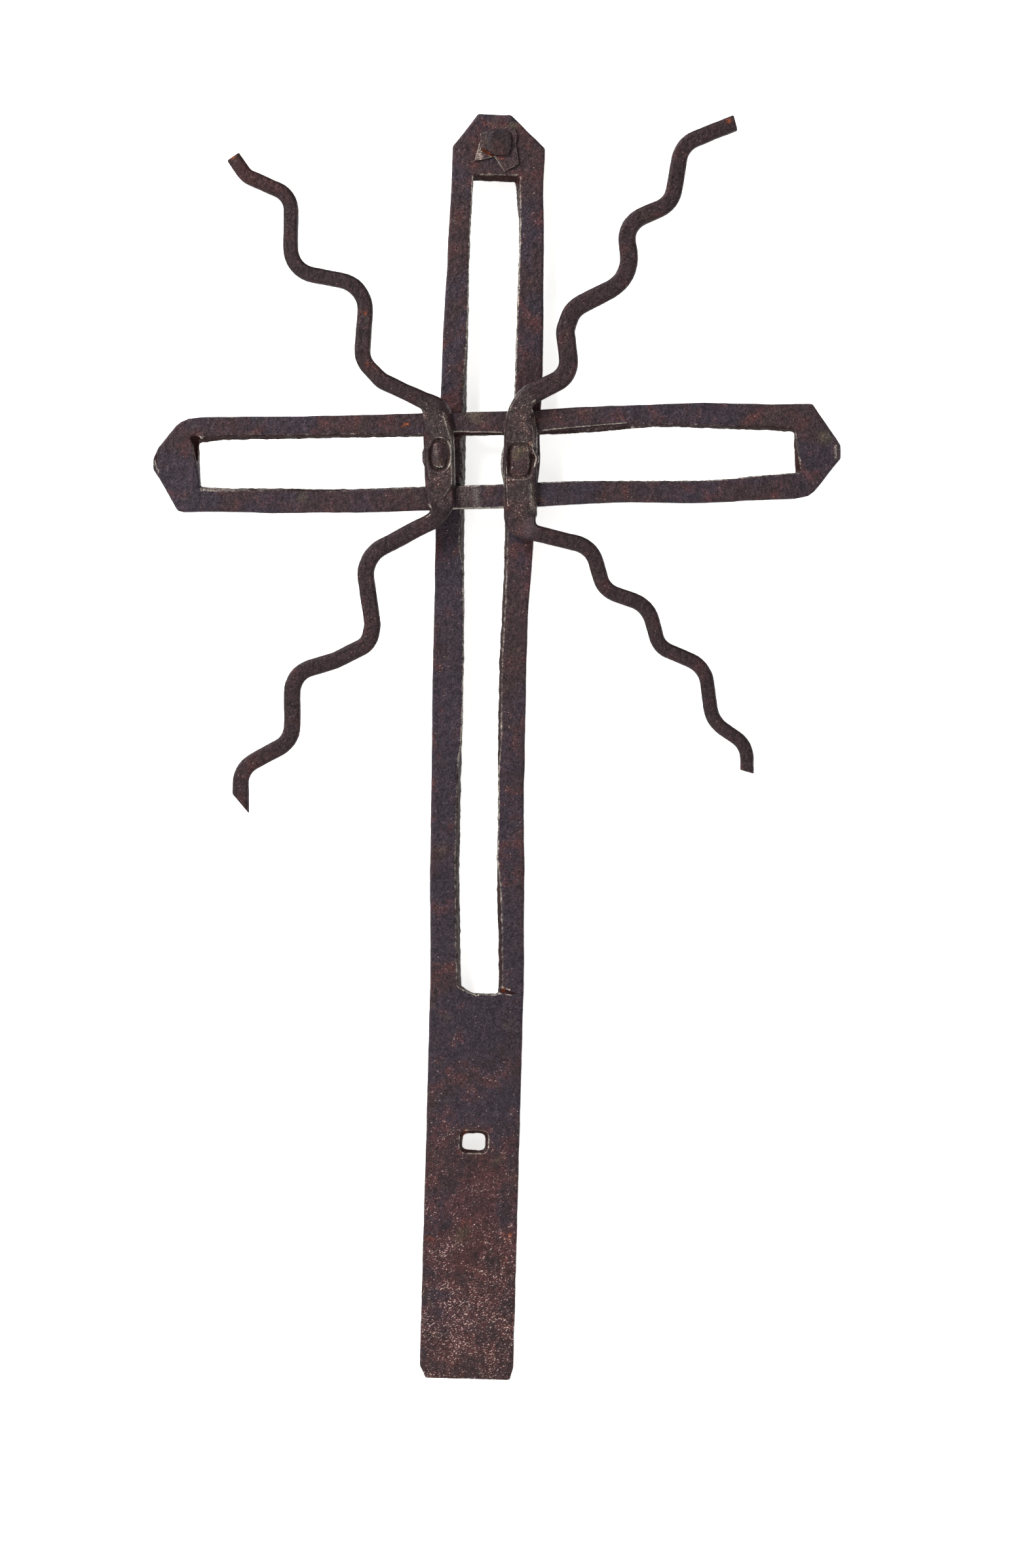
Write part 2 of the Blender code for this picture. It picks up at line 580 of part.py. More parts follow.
def head_patch(material):
    """Thin torn scrap of sheet under the head rivet."""
    loops = [
        [(x * MM, depth, HEAD_RIVET_HEIGHT + z * MM) for x, z in SCRAP_OUTLINE]
        for depth in (BACK_OF_SHEET, FRONT_OF_SHEET)
    ]
    scrap = lofted("head_patch", loops, material)
    cut_rivet_hole(scrap, "patch_hole_cutter", HEAD_RIVET_STEM, BACK_OF_SHEET, FRONT_OF_SHEET, material)
    return scrap


def head_rivet(material):
    """Squarish peened head on a shank that goes through the scrap and the upright."""
    centre = (0, HEAD_RIVET_HEIGHT)
    under = FRONT_OF_SHEET - TOUCH_GAP
    stem = (HEAD_RIVET_SHANK, HEAD_RIVET_SHANK, HEAD_SHANK_SQUARENESS)
    brim = (HEAD_RIVET_WIDTH, HEAD_RIVET_TALL, HEAD_RIVET_SQUARENESS)
    crown = [size - 2 * HEAD_RIVET_DOME_ROUND for size in brim[:2]]
    loops = [
        oval(*stem, -RAIL_RELIEF, centre),
        oval(*stem, under, centre),
        oval(*brim, under, centre),
        oval(*brim, under - HEAD_RIVET_EDGE, centre),
        oval(*crown, HEAD_RIVET_SQUARENESS, under - HEAD_RIVET_RISE, centre),
    ]
    return lofted("head_rivet", loops, material, smooth=True)


def build():
    """Make the whole cross."""
    clear_scene()
    scaled = iron(*SCALED_IRON)
    rusted = iron(*RUSTED_IRON)
    worn = iron(*WORN_IRON)
    upright(scaled)
    crossbar(scaled)
    upper = Arm(LEFT_FLAT_UP, UPPER_LEFT_ROOT, UPPER_LEFT_TIP, 0)
    lower = Arm(LEFT_FLAT_DOWN, LOWER_LEFT_ROOT, LOWER_LEFT_TIP, LOWER_LEFT_CUT)
    ray("left_ray", LEFT_RIVET, LEFT_RAY_BENDS, LEFT_FLAT_WALL, upper, lower, scaled)
    upper = Arm(RIGHT_FLAT_UP, UPPER_RIGHT_ROOT, UPPER_RIGHT_TIP, UPPER_RIGHT_CUT)
    lower = Arm(RIGHT_FLAT_DOWN, LOWER_RIGHT_ROOT, LOWER_RIGHT_TIP, LOWER_RIGHT_CUT)
    ray("right_ray", RIGHT_RIVET, RIGHT_RAY_BENDS, RIGHT_FLAT_WALL, upper, lower, scaled)
    clamping_rivet("left_rivet", LEFT_RIVET, worn)
    clamping_rivet("right_rivet", RIGHT_RIVET, worn)
    head_patch(rusted)
    head_rivet(worn)


build()
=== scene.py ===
"""Looks of a hand-forged iron cross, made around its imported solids.

Metres, +Z up. The front faces -Y, and the origin is on the shank's back face. Every piece is
its solid, remeshed finely, then hammered, chiselled, scaled and pitted.
"""

import math
from collections import namedtuple
from functools import partial

import bmesh
import bpy
import numpy as np
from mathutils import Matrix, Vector


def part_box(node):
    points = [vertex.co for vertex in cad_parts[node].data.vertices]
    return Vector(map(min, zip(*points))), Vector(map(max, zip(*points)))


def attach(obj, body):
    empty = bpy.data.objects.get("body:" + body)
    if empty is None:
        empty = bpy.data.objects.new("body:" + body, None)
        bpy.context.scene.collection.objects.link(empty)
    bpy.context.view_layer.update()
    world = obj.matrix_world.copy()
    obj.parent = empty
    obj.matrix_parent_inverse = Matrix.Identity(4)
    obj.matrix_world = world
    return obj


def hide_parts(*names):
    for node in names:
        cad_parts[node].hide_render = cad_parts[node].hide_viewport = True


bl_info = {
    "name": "Forged iron cross",
    "version": (1, 0, 0),
    "blender": (4, 5, 0),
    "location": "3D View > Sidebar > Cross",
    "description": "Dresses the packed solids of a wrought iron cross with waved rays",
    "category": "Object",
}

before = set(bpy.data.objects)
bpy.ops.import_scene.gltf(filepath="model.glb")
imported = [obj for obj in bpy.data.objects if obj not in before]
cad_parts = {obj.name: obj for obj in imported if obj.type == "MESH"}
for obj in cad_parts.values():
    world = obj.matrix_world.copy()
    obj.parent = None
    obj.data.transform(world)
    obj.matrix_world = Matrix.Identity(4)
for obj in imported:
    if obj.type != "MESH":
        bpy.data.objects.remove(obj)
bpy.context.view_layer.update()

MM = 0.001

# Most triangles that one piece holds once it is done
MOST_TRIANGLES = 190_000

# A mark fades out at this many times its width
MARK_RIM = 1.7

# The ring round a rivet: its width as a share of the rivet's half width, and its depth in mm
MOAT_WIDTH = 0.15
MOAT_DEPTH = 1.0

# The ring's floor is flat over this share of its width
MOAT_FLAT = 0.4

# A rivet's hole lies within this share of the rivet's half width, where normals turn this little
# to the front
HOLE_FIT = 0.1
HOLE_TURN = 0.8

# How far the wall of a rivet's hole moves in, in mm, so that nothing shows through the fit
MOAT_CLOSING = 0.6

# How far an arris stands out, as a share of the mesh size
ARRIS_SHARE = 0.24

# How steeply a mark and a gouge fade at the rim
MARK_RIM_STEEP = 1.5
GOUGE_RIM_STEEP = 2.5

# A gouge fades out at this many times its width, and bares no arris within the second
GOUGE_RIM = 1.2
GOUGE_CALM = 2.5

# How much painted shade darkens a gouge for each mm of its depth
GOUGE_SHADE = 2

# How bare the slots' arrises are, with a painted highlight along them
SLOT_WEAR_AND_HIGHLIGHT = 0.7

# How quickly a normal that turns away from the front becomes a wall's, and from what turn on
WALL_STEEP = 4
WALL_START = 0.1

# The crossbar leans up to the right and crosses the upright here
CROSSING = (0.0, 351.3)
CROSSBAR_TILT = math.radians(2.8)

# A hammer blow flattens what stands above its plane: from where, to where, the way the flat faces,
# its reach. Places are in mm: sideways, back, up.
Blow = namedtuple("Blow", "start end facing reach")

# A burr or a lifted edge: where, which way it goes, how far, its reach
Pull = namedtuple("Pull", "at way far reach")

# A mark on the front: from where, to where (sideways and up in mm), half its width at the start and
# at the end, and its strength, or its depth in mm where it is a gouge
Mark = namedtuple("Mark", "start end width tip strength")

# A bar's slot: the way across it, how far from its axis its walls lie, and how far it reaches from
# the crossing up or to the left, and down or to the right, in mm
Slot = namedtuple("Slot", "across half before after")

# The ring that a rivet leaves in a ray, dented and darkened with painted shade: middle, half width, half
# height, squareness
Moat = namedtuple("Moat", "side up wide tall squareness")

# What the smith, the weather and hands did to one piece, with the painted highlights, sheen and shade that
# some of its marks carry
Wear = namedtuple(
    "Wear", "blows pulls gouges moats reddened blued rubbed rusted bared lined", defaults=((),) * 10
)


UPRIGHT_SLOT = Slot((1, 0, 0), 17, 139, 341)
CROSSBAR_SLOT = Slot((-math.sin(CROSSBAR_TILT), 0, math.cos(CROSSBAR_TILT)), 15, 140, 152)


def trail(width, strength, *places):
    """A mark that runs from place to place."""
    return tuple(Mark(start, end, width, width, strength) for start, end in zip(places, places[1:]))


def spot(side, up, radius, strength):
    """A round mark."""
    return Mark((side, up), (side, up), radius, radius, strength)


UPRIGHT_WEAR = Wear(
    gouges=(
        Mark((11.4, 95.2), (19.8, 93.7), 0.9, 0.2, 0.9),
        Mark((-0.2, 95.4), (0.1, 93.2), 0.9, 0.3, 1.0),
    ),
    reddened=(
        spot(18.1, 387.0, 13.0, 0.5), spot(17.2, 315.3, 11.0, 0.5), spot(-15.6, 374.7, 9.0, 0.8),
        spot(-7.0, 508.0, 8.0, 0.5), spot(10.0, 507.0, 8.0, 0.5), spot(12.5, 95.3, 1.8, 1.0),
        spot(-7.5, 96.2, 1.6, 0.9), Mark((-4.5, 26.9), (7.0, 27.0), 1.3, 1.3, 1.0),
        Mark((6.2, 10.3), (-5.4, -28.0), 7.0, 11.0, 0.6), spot(18.0, 22.0, 4.0, 0.5),
        # The next mark is a painted shadow in rust red under the torn scrap's lower edge
        Mark((-12.5, 492.6), (-8.5, 491.6), 0.9, 0.5, 1.0),
    ),
    blued=(
        Mark((-16.0, 330.0), (-15.0, 110.0), 8.0, 8.0, 0.8),
        Mark((16.0, 330.0), (15.0, 110.0), 6.0, 6.0, 0.6),
        Mark((0.0, 84.0), (0.0, 40.0), 14.0, 14.0, 0.9),
    ),
    rubbed=(
        spot(6.0, 512.0, 1.8, 0.9), Mark((-1.0, 510.6), (5.3, 510.8), 0.9, 0.9, 0.8),
        spot(-3.3, 513.7, 2.8, 0.5),
        spot(-3.9, -24.7, 5.0, 0.6), spot(14.0, 13.5, 2.2, 0.5),
    ),
    rusted=(
        spot(19.4, -22.8, 0.9, 1.0), spot(17.6, -22.6, 3.5, 0.4), spot(-19.6, -25.8, 3.0, 0.5),
        spot(-1.9, -16.8, 3.5, 0.4), spot(16.9, -35.2, 2.2, 0.4), spot(12.8, 95.4, 1.0, 0.8),
        Mark((-4.9, 24.0), (-3.4, 27.0), 0.9, 0.9, 0.8), spot(-7.2, 512.8, 1.6, 0.5),
    ),
    bared=(spot(19.4, -22.8, 0.5, 0.7), spot(12.0, 97.0, 0.9, 0.6)),
    lined=(
        *trail(1.0, 0.3, (-5.9, 18.6), (-5.9, 27.0), (-4.0, 28.1), (6.8, 28.2), (8.4, 26.4), (8.2, 18.4)),
        *trail(1.2, 1.0, (-9.5, 96.0), (-4.0, 94.3), (10.0, 93.6)),
        *trail(1.4, 1.0, (-12.0, 487.0), (10.5, 487.6)),
    ),
)
CROSSBAR_WEAR = Wear(
    blows=(
        Blow((-162.5, -9.3, 346.5), (-160.8, -9.3, 341.0), (-0.7, -0.7, -0.1), 2.4),
        Blow((-138.4, -9.9, 332.8), (-85.0, -9.9, 336.5), (0.0, -0.6, 0.8), 1.8),
        Blow((166.6, -9.4, 361.5), (166.9, -9.4, 355.5), (0.7, -0.7, 0.0), 2.2),
        Blow((-17.7, -9.0, 362.4), (4.7, -9.0, 362.7), (0.0, -0.65, -0.76), 2.0),
        Blow((25.0, -9.0, 364.4), (64.3, -9.0, 368.9), (0.0, -0.65, -0.76), 2.0),
    ),
    gouges=(
        Mark((-142.9, 356.6), (-141.4, 346.6), 1.6, 0.2, 1.8),
        Mark((-144.3, 357.0), (-141.2, 357.0), 0.7, 0.7, 1.2),
        Mark((-161.0, 348.5), (-160.2, 340.6), 0.3, 0.3, 0.5),
        # The last two gouges lie along the chamfers under the top rail: a shallow dent with painted shade
        Mark((-17.7, 362.2), (4.7, 362.5), 0.6, 0.6, 0.4),
        Mark((25.0, 364.1), (64.3, 368.5), 0.5, 0.5, 0.3),
    ),
    rubbed=(
        spot(-9.2, 371.1, 3.0, 0.7), spot(-8.1, 367.1, 2.6, 0.6), spot(-5.0, 369.6, 3.6, 0.5),
        spot(-92.0, 333.0, 5.0, 0.4), spot(160.0, 365.5, 3.5, 0.8),
    ),
    reddened=(spot(-25.0, 376.0, 5.0, 0.5), spot(-118.0, 366.0, 8.0, 0.4)),
    blued=(spot(49.0, 336.0, 9.0, 0.9),),
    rusted=(*trail(0.5, 1.0, (-43.2, 365.2), (-41.5, 366.8), (-39.8, 366.5)), spot(-41.5, 365.0, 0.9, 0.5)),
    bared=(
        Mark((-7.0, 337.5), (-6.1, 327.5), 2.0, 1.8, 0.75),
        Mark((-13.0, 336.0), (-12.0, 329.0), 3.0, 2.5, 0.5),
        spot(-9.0, 370.5, 2.6, 0.4), spot(-5.6, 368.6, 1.6, 0.4), spot(-139.5, 357.4, 0.7, 1.0),
        *trail(1.1, 1.0, (-138.4, 332.6), (-125.0, 333.2)),
        *trail(1.0, 0.8, (-124.0, 333.0), (-117.0, 333.4)),
        *trail(0.7, 0.8, (165.4, 361.5), (165.8, 355.5)),
        *trail(1.0, 0.8, (-111.0, 333.6), (-98.0, 334.8)),
        *trail(0.8, 0.9, (-162.6, 345.4), (-160.2, 340.6)),
    ),
    lined=(
        *trail(1.0, 1.0, (-17.7, 363.6), (4.7, 363.8)), *trail(1.2, 1.0, (-19.7, 326.4), (6.5, 327.1)),
        *trail(1.6, 1.0, (-138.4, 332.4), (-85.0, 336.1)),
        *trail(1.2, 0.8, (-139.0, 358.4), (-120.0, 359.8)),
        *trail(1.0, 0.7, (25.0, 365.3), (64.3, 370.1)),
    ),
)
LEFT_RAY_WEAR = Wear(
    blows=(
        Blow((-22.6, -14.3, 371.5), (-19.2, -14.3, 361.0), (0.7, -0.7, 0.2), 3.4),
        Blow((-18.8, -14.6, 358.5), (-18.0, -14.6, 339.0), (0.75, -0.65, 0.0), 2.0),
        Blow((-18.4, -14.6, 337.4), (-20.8, -14.6, 332.6), (0.7, -0.55, -0.45), 2.0),
        Blow((-31.4, -14.8, 350.0), (-29.6, -14.8, 340.0), (-0.7, -0.7, 0.0), 1.6),
    ),
    moats=(Moat(-24.7, 351.8, 4.2, 6.9, 2.3),),
    reddened=(spot(-31.0, 335.0, 7.0, 0.4), Mark((-126.0, 488.0), (-104.0, 476.0), 6.0, 6.0, 0.7)),
    rusted=(spot(-62.3, 418.7, 1.0, 0.7), spot(-60.7, 394.2, 1.2, 0.6), spot(-127.9, 491.8, 1.3, 0.8)),
    bared=(
        Mark((-22.6, 371.5), (-19.2, 361.0), 1.5, 1.9, 0.9),
        # The next two broad marks paint a sheen over the flat
        Mark((-31.0, 374.0), (-25.0, 363.0), 5.0, 4.0, 0.48),
        Mark((-24.5, 366.0), (-24.0, 334.0), 5.0, 5.0, 0.38),
        *trail(0.7, 0.5, (-31.3, 349.8), (-29.4, 340.4)),
    ),
    lined=(
        *trail(1.3, 0.9, (-18.4, 362.0), (-17.2, 338.0)), *trail(1.2, 1.0, (-17.1, 337.6), (-21.0, 332.1)),
        *trail(1.1, 0.8, (-20.2, 359.0), (-19.0, 339.0)), *trail(1.2, 0.7, (-29.0, 327.0), (-29.6, 322.0)),
    ),
)
RIGHT_RAY_WEAR = Wear(
    blows=(
        Blow((19.9, -14.6, 371.5), (20.7, -14.6, 357.5), (0.7, -0.7, 0.0), 1.8),
        Blow((6.9, -14.6, 374.0), (6.5, -14.6, 358.0), (-0.7, -0.7, 0.0), 1.8),
        Blow((6.9, -14.6, 345.0), (7.9, -14.6, 329.0), (-0.7, -0.7, 0.0), 1.8),
        Blow((20.4, -14.5, 339.0), (21.4, -14.5, 327.0), (0.6, -0.8, 0.0), 2.6),
    ),
    pulls=(
        Pull((21.4, -14.9, 351.2), (1.0, 0.0, 0.0), 1.0, 3.4),
        Pull((5.9, -14.9, 351.0), (-1.0, 0.0, 0.0), 0.6, 3.0),
    ),
    gouges=(Mark((19.6, 354.6), (20.1, 347.4), 0.4, 0.4, 0.5),),
    moats=(Moat(14.0, 350.1, 5.1, 7.5, 4.0),),
    reddened=(spot(12.0, 325.0, 7.0, 0.4),),
    rubbed=(spot(18.4, 357.5, 2.4, 0.8),),
    rusted=(spot(109.6, 515.5, 1.3, 0.8), spot(18.6, 358.6, 1.2, 0.5)),
    bared=(
        Mark((20.4, 370.1), (21.2, 357.5), 0.8, 0.8, 0.7),
        Mark((18.5, 359.2), (19.7, 354.0), 1.0, 0.6, 0.5),
        Mark((19.6, 338.4), (21.2, 327.0), 1.5, 2.0, 0.8), Mark((7.8, 377.4), (9.7, 371.4), 2.0, 2.0, 0.5),
        # The next two broad marks paint a sheen over the flat
        Mark((13.0, 378.0), (13.5, 361.0), 6.0, 5.0, 0.48),
        Mark((13.5, 340.0), (14.5, 326.0), 6.0, 5.0, 0.42),
    ),
    lined=(
        *trail(1.2, 1.0, (19.6, 379.5), (20.4, 370.1), (21.4, 357.5)),
        *trail(1.2, 1.0, (7.2, 375.0), (5.9, 371.0), (5.7, 357.1)),
        *trail(1.2, 1.0, (6.0, 346.1), (7.3, 328.8)),
        *trail(0.8, 0.6, (19.8, 354.2), (20.3, 347.6), (22.0, 349.0), (22.9, 351.4), (21.6, 355.2)),
    ),
)
LEFT_RIVET_WEAR = Wear(
    blows=(
        Blow((-26.8, -15.5, 356.0), (-26.8, -15.5, 348.0), (-0.35, -0.93, 0.0), 3.0),
        Blow((-23.0, -15.5, 354.0), (-23.2, -15.5, 348.0), (0.35, -0.93, 0.1), 2.4),
    ),
    rubbed=(spot(-25.0, 348.5, 2.2, 0.5),),
    bared=(Mark((-27.0, 356.4), (-26.2, 350.5), 1.1, 0.8, 0.5),),
    lined=trail(0.9, 1.0, (-28.4, 348.0), (-25.6, 345.5), (-23.2, 346.6), (-21.6, 349.5)),
)
RIGHT_RIVET_WEAR = Wear(
    blows=(
        Blow((10.9, -15.4, 355.4), (16.0, -15.4, 356.0), (0.0, -0.9, 0.4), 1.6),
        Blow((11.2, -15.4, 345.4), (16.6, -15.4, 344.2), (0.0, -0.9, -0.4), 1.8),
    ),
    rubbed=(spot(14.2, 353.0, 3.6, 0.9), spot(13.0, 347.0, 2.4, 0.5)),
    rusted=(spot(15.5, 355.0, 1.4, 0.4),),
    lined=(
        *trail(0.9, 1.0, (17.6, 355.6), (18.3, 352.0), (18.0, 347.0)),
        *trail(0.9, 1.0, (10.8, 356.0), (15.2, 356.5)),
        *trail(0.9, 1.0, (10.2, 346.5), (11.6, 344.4), (16.2, 343.6)),
    ),
)
HEAD_RIVET_WEAR = Wear(
    blows=(
        Blow((-1.0, -7.7, 499.5), (1.0, -7.7, 501.5), (0.0, -1.0, 0.0), 6.0),
        Blow((-5.0, -7.5, 505.0), (-5.0, -7.5, 499.0), (-0.5, -0.85, 0.0), 2.0),
        Blow((4.6, -7.4, 497.0), (3.4, -7.4, 495.6), (0.6, -0.6, -0.6), 2.0),
    ),
    reddened=(spot(0.0, 499.0, 6.0, 0.4),),
    # This spot paints a grey sheen on the stud's upper left
    bared=(spot(-3.0, 503.0, 2.6, 0.25),),
    lined=trail(0.9, 1.0, (-6.2, 504.0), (-5.7, 500.4)),
)
PATCH_WEAR = Wear(
    gouges=(Mark((-8.2, 499.8), (-3.2, 497.4), 0.7, 0.9, 0.5),),
    rubbed=(spot(3.4, 492.0, 2.6, 0.6),),
    rusted=(
        Mark((-8.4, 499.6), (-2.6, 497.0), 0.7, 1.0, 0.75),
        Mark((-1.0, 496.0), (2.2, 495.6), 0.6, 0.5, 0.6),
    ),
    bared=(
        Mark((-11.0, 505.0), (-9.6, 496.2), 0.5, 1.8, 1.0),
        Mark((-10.9, 506.4), (-6.4, 508.2), 0.4, 0.4, 0.7),
        Mark((7.4, 501.0), (8.2, 494.0), 1.2, 1.4, 0.25),
        *trail(0.45, 1.0, (-12.5, 493.9), (-10.0, 493.5), (-6.2, 494.9), (-2.4, 496.4)),
        *trail(0.4, 0.9, (-1.6, 496.0), (2.8, 488.7)),
    ),
    lined=(
        *trail(
            1.2, 1.0, (-12.5, 493.8), (-10.0, 493.2), (-6.2, 494.6), (-3.8, 496.2), (-1.6, 496.3),
            (0.1, 493.2), (1.5, 489.4), (2.8, 488.5),
        ),
        *trail(1.0, 0.5, (2.8, 488.5), (4.9, 490.8), (9.3, 492.8)),
        *trail(1.0, 0.6, (-11.0, 505.0), (-12.3, 494.0)),
    ),
)


def linear(code):
    """Turn an sRGB hex colour into linear red, green and blue."""
    shares = [int(code[place:place + 2], 16) / 255 for place in (1, 3, 5)]
    return tuple(s / 12.92 if s <= 0.04045 else ((s + 0.055) / 1.055) ** 2.4 for s in shares)


def length(label, about, default):
    """A size that can be changed, in metres."""
    return bpy.props.FloatProperty(
        name=label, description=about, default=default, unit="LENGTH", precision=5
    )


def tint(label, about, code):
    """A colour that can be changed."""
    return bpy.props.FloatVectorProperty(
        name=label, description=about, default=linear(code), subtype="COLOR", min=0, max=1
    )


class ForgeSizes(bpy.types.PropertyGroup):
    """Sizes of the hammered, scaled and pitted surface."""

    grain: length("Grain", "Mesh size while the surface is worked", 0.42 * MM)
    fine_grain: length("Fine grain", "The same on the rivets and the scrap", 0.2 * MM)
    dent_size: length("Dent size", "Width of one hammer dent", 12 * MM)
    dent_depth: length("Dent depth", "Depth of one hammer dent", 0.16 * MM)
    scale_size: length("Scale size", "Width of one patch of forge scale", 2.6 * MM)
    scale_depth: length("Scale depth", "Height of the forge scale", 0.07 * MM)
    pit_size: length("Pit size", "Width of one rust pit", 2.2 * MM)
    pit_depth: length("Pit depth", "Depth of the rust pits", 0.22 * MM)
    wander: length("Edge wander", "How far the hammered edges wander", 0.4 * MM)
    pitted_below: length("Pitted below", "Height where the pits begin to thin out", -20 * MM)
    pit_fade: length("Pit fade", "Over what height they thin out, up and down", 60 * MM)
    wander_size: length("Wander size", "Width of one bend of a wandering edge", 11 * MM)
    chisel_size: length("Chisel mark size", "Width of one mark in the chiselled slots", 4 * MM)
    chisel_depth: length("Chisel mark depth", "Depth of the marks in the chiselled slots", 0.4 * MM)


class PatternSizes(bpy.types.PropertyGroup):
    """Sizes of the patterns in the iron's colour."""

    cloud: length("Cloud", "Width of one cloud of bare scale", 38 * MM)
    patch: length("Patch", "Width of one patch of rust", 9 * MM)
    stain: length("Stain", "Width of one olive stain", 14 * MM)
    crumb: length("Crumb", "Width of one crumb of rust", 2.6 * MM)
    grain: length("Grain", "Width of one grain, as fine as the picture shows", 0.65 * MM)
    fleck: length("Fleck", "Width of one bright fleck", 0.48 * MM)
    foot_fade: length("Foot fade", "Over what height the rust grows towards the foot", 40 * MM)
    flecked_below: length("Flecked below", "Height where the flecks are thickest", -60 * MM)
    flecked_above: length("Flecked above", "Height where they are as rare as elsewhere", 70 * MM)
    grain_relief: length("Grain relief", "Depth of the grain in the light", 0.25 * MM)
    crumb_relief: length("Crumb relief", "Depth of the crumbs in the light", 0.5 * MM)


class ForgeColours(bpy.types.PropertyGroup):
    """Colours of the iron."""

    brown: tint("Scale brown", "Thin brown rust over forge scale", "#3a292c")
    violet: tint("Scale violet", "Bare forge scale, violet to blue", "#332b36")
    red: tint("Rust red", "Dark red rust", "#4e2926")
    orange: tint("Rust orange", "Fresh rust", "#8f4623")
    olive: tint("Olive", "Scale rubbed to an olive brown", "#584d3c")
    # Steel is also the colour of the painted highlights on the arrises and the painted sheen on the flats
    steel: tint("Bare steel", "Metal rubbed bare on the edges", "#a79e92")
    glint: tint("Glint", "Pits and sand that catch the light", "#c9b0a8")
    paper: tint("Paper", "Floor and backdrop", "#f6f6f4")


# Each light: its place and its width in metres, the power that sets it and its share of that power
LIGHTS = {
    "key_light": ((-1.5, -1.7, 1.7), 1.2, "key_power", 1.0),
    "fill_light": ((1.8, -1.5, -0.2), 1.4, "fill_power", 1.0),
    "back_left_light": ((-1.4, 1.8, 1.4), 1.2, "back_power", 1.0),
    "back_right_light": ((1.8, 1.5, 0.6), 1.2, "back_power", 0.6),
}

# The place on the cross that the lights look at, in metres
LIT_PLACE = (0.0, 0.0, 0.22)


class StudioSettings(bpy.types.PropertyGroup):
    """Camera, lights and floor."""

    distance: length("Camera distance", "From the camera to the back of the cross", 3.0)
    picture_height: length("Picture height", "What the picture shows at the cross", 756.67 * MM)
    side: length("Camera side", "Camera to the right of the origin", 10.7 * MM)
    height: length("Camera height", "Camera over the origin", 194.7 * MM)
    roll: bpy.props.FloatProperty(
        name="Roll", description="Lean of the cross to the right",
        default=math.radians(1.55), subtype="ANGLE",
    )
    paper_gap: length("Paper gap", "From the back of the cross to the paper", 9 * MM)
    paper_glow: bpy.props.FloatProperty(
        name="Paper glow", description="Light that the paper adds of its own", default=0.74
    )
    floor_drop: length("Floor drop", "From the origin down to the floor", 0.42)
    reach: length("Reach", "From the middle to the edges of the floor and the paper", 15.0)
    sky_seen: bpy.props.FloatProperty(
        name="Background", description="Brightness of the background behind all", default=1.0
    )
    sky_light: bpy.props.FloatProperty(
        name="Soft light", description="Light from all around", default=0.28
    )
    floor_glow: bpy.props.FloatProperty(
        name="Floor glow", description="Light that the floor adds of its own", default=0.55
    )
    key_power: bpy.props.FloatProperty(
        name="Key light", description="Power of the light from the upper left", default=78.0, unit="POWER"
    )
    fill_power: bpy.props.FloatProperty(
        name="Fill light", description="Power of the light from the lower right", default=8.0, unit="POWER"
    )
    back_power: bpy.props.FloatProperty(
        name="Back light", description="Power of the lights behind the cross", default=40.0, unit="POWER"
    )


def add_node(tree, kind, inputs=None, **settings):
    """Add a node, set it up and give its inputs their values or links."""
    node = tree.nodes.new(kind)
    for setting, value in settings.items():
        setattr(node, setting, value)
    for place, value in (inputs or {}).items():
        if isinstance(value, bpy.types.NodeSocket):
            tree.links.new(value, node.inputs[place])
        else:
            node.inputs[place].default_value = value
    return node


def new_geometry_tree(name, inputs):
    """Make a Geometry Nodes tree with named inputs; return it, its input node and its adder."""
    tree = bpy.data.node_groups.new(name, "GeometryNodeTree")
    tree.interface.new_socket("Geometry", in_out="OUTPUT", socket_type="NodeSocketGeometry")
    tree.interface.new_socket("Geometry", in_out="INPUT", socket_type="NodeSocketGeometry")
    for label, kind in inputs.items():
        tree.interface.new_socket(label, in_out="INPUT", socket_type="NodeSocket" + kind)
    return tree, tree.nodes.new("NodeGroupInput"), partial(add_node, tree)


def settle(piece):
    """Make what the piece's modifiers show its plain mesh."""
    graph = bpy.context.evaluated_depsgraph_get()
    made = bpy.data.meshes.new_from_object(
        piece.evaluated_get(graph), preserve_all_data_layers=True, depsgraph=graph
    )
    rough = piece.data
    piece.modifiers.clear()
    piece.data = made
    bpy.data.meshes.remove(rough)
    made.name = piece.name


def run_tree(piece, tree, values):
    """Put a piece through a Geometry Nodes tree."""
    modifier = piece.modifiers.new(tree.name, "NODES")
    modifier.node_group = tree
    for item in tree.interface.items_tree:
        if item.in_out == "INPUT" and item.name in values:
            modifier[item.identifier] = values[item.name]
    settle(piece)


def end_tree(put, geometry, material):
    """End a Geometry Nodes tree with plain geometry in one finish."""
    plain = put("GeometryNodeRealizeInstances", {0: geometry})
    dressed = put("GeometryNodeSetMaterial", {0: plain.outputs[0], "Material": material})
    put("NodeGroupOutput", {0: dressed.outputs[0]})


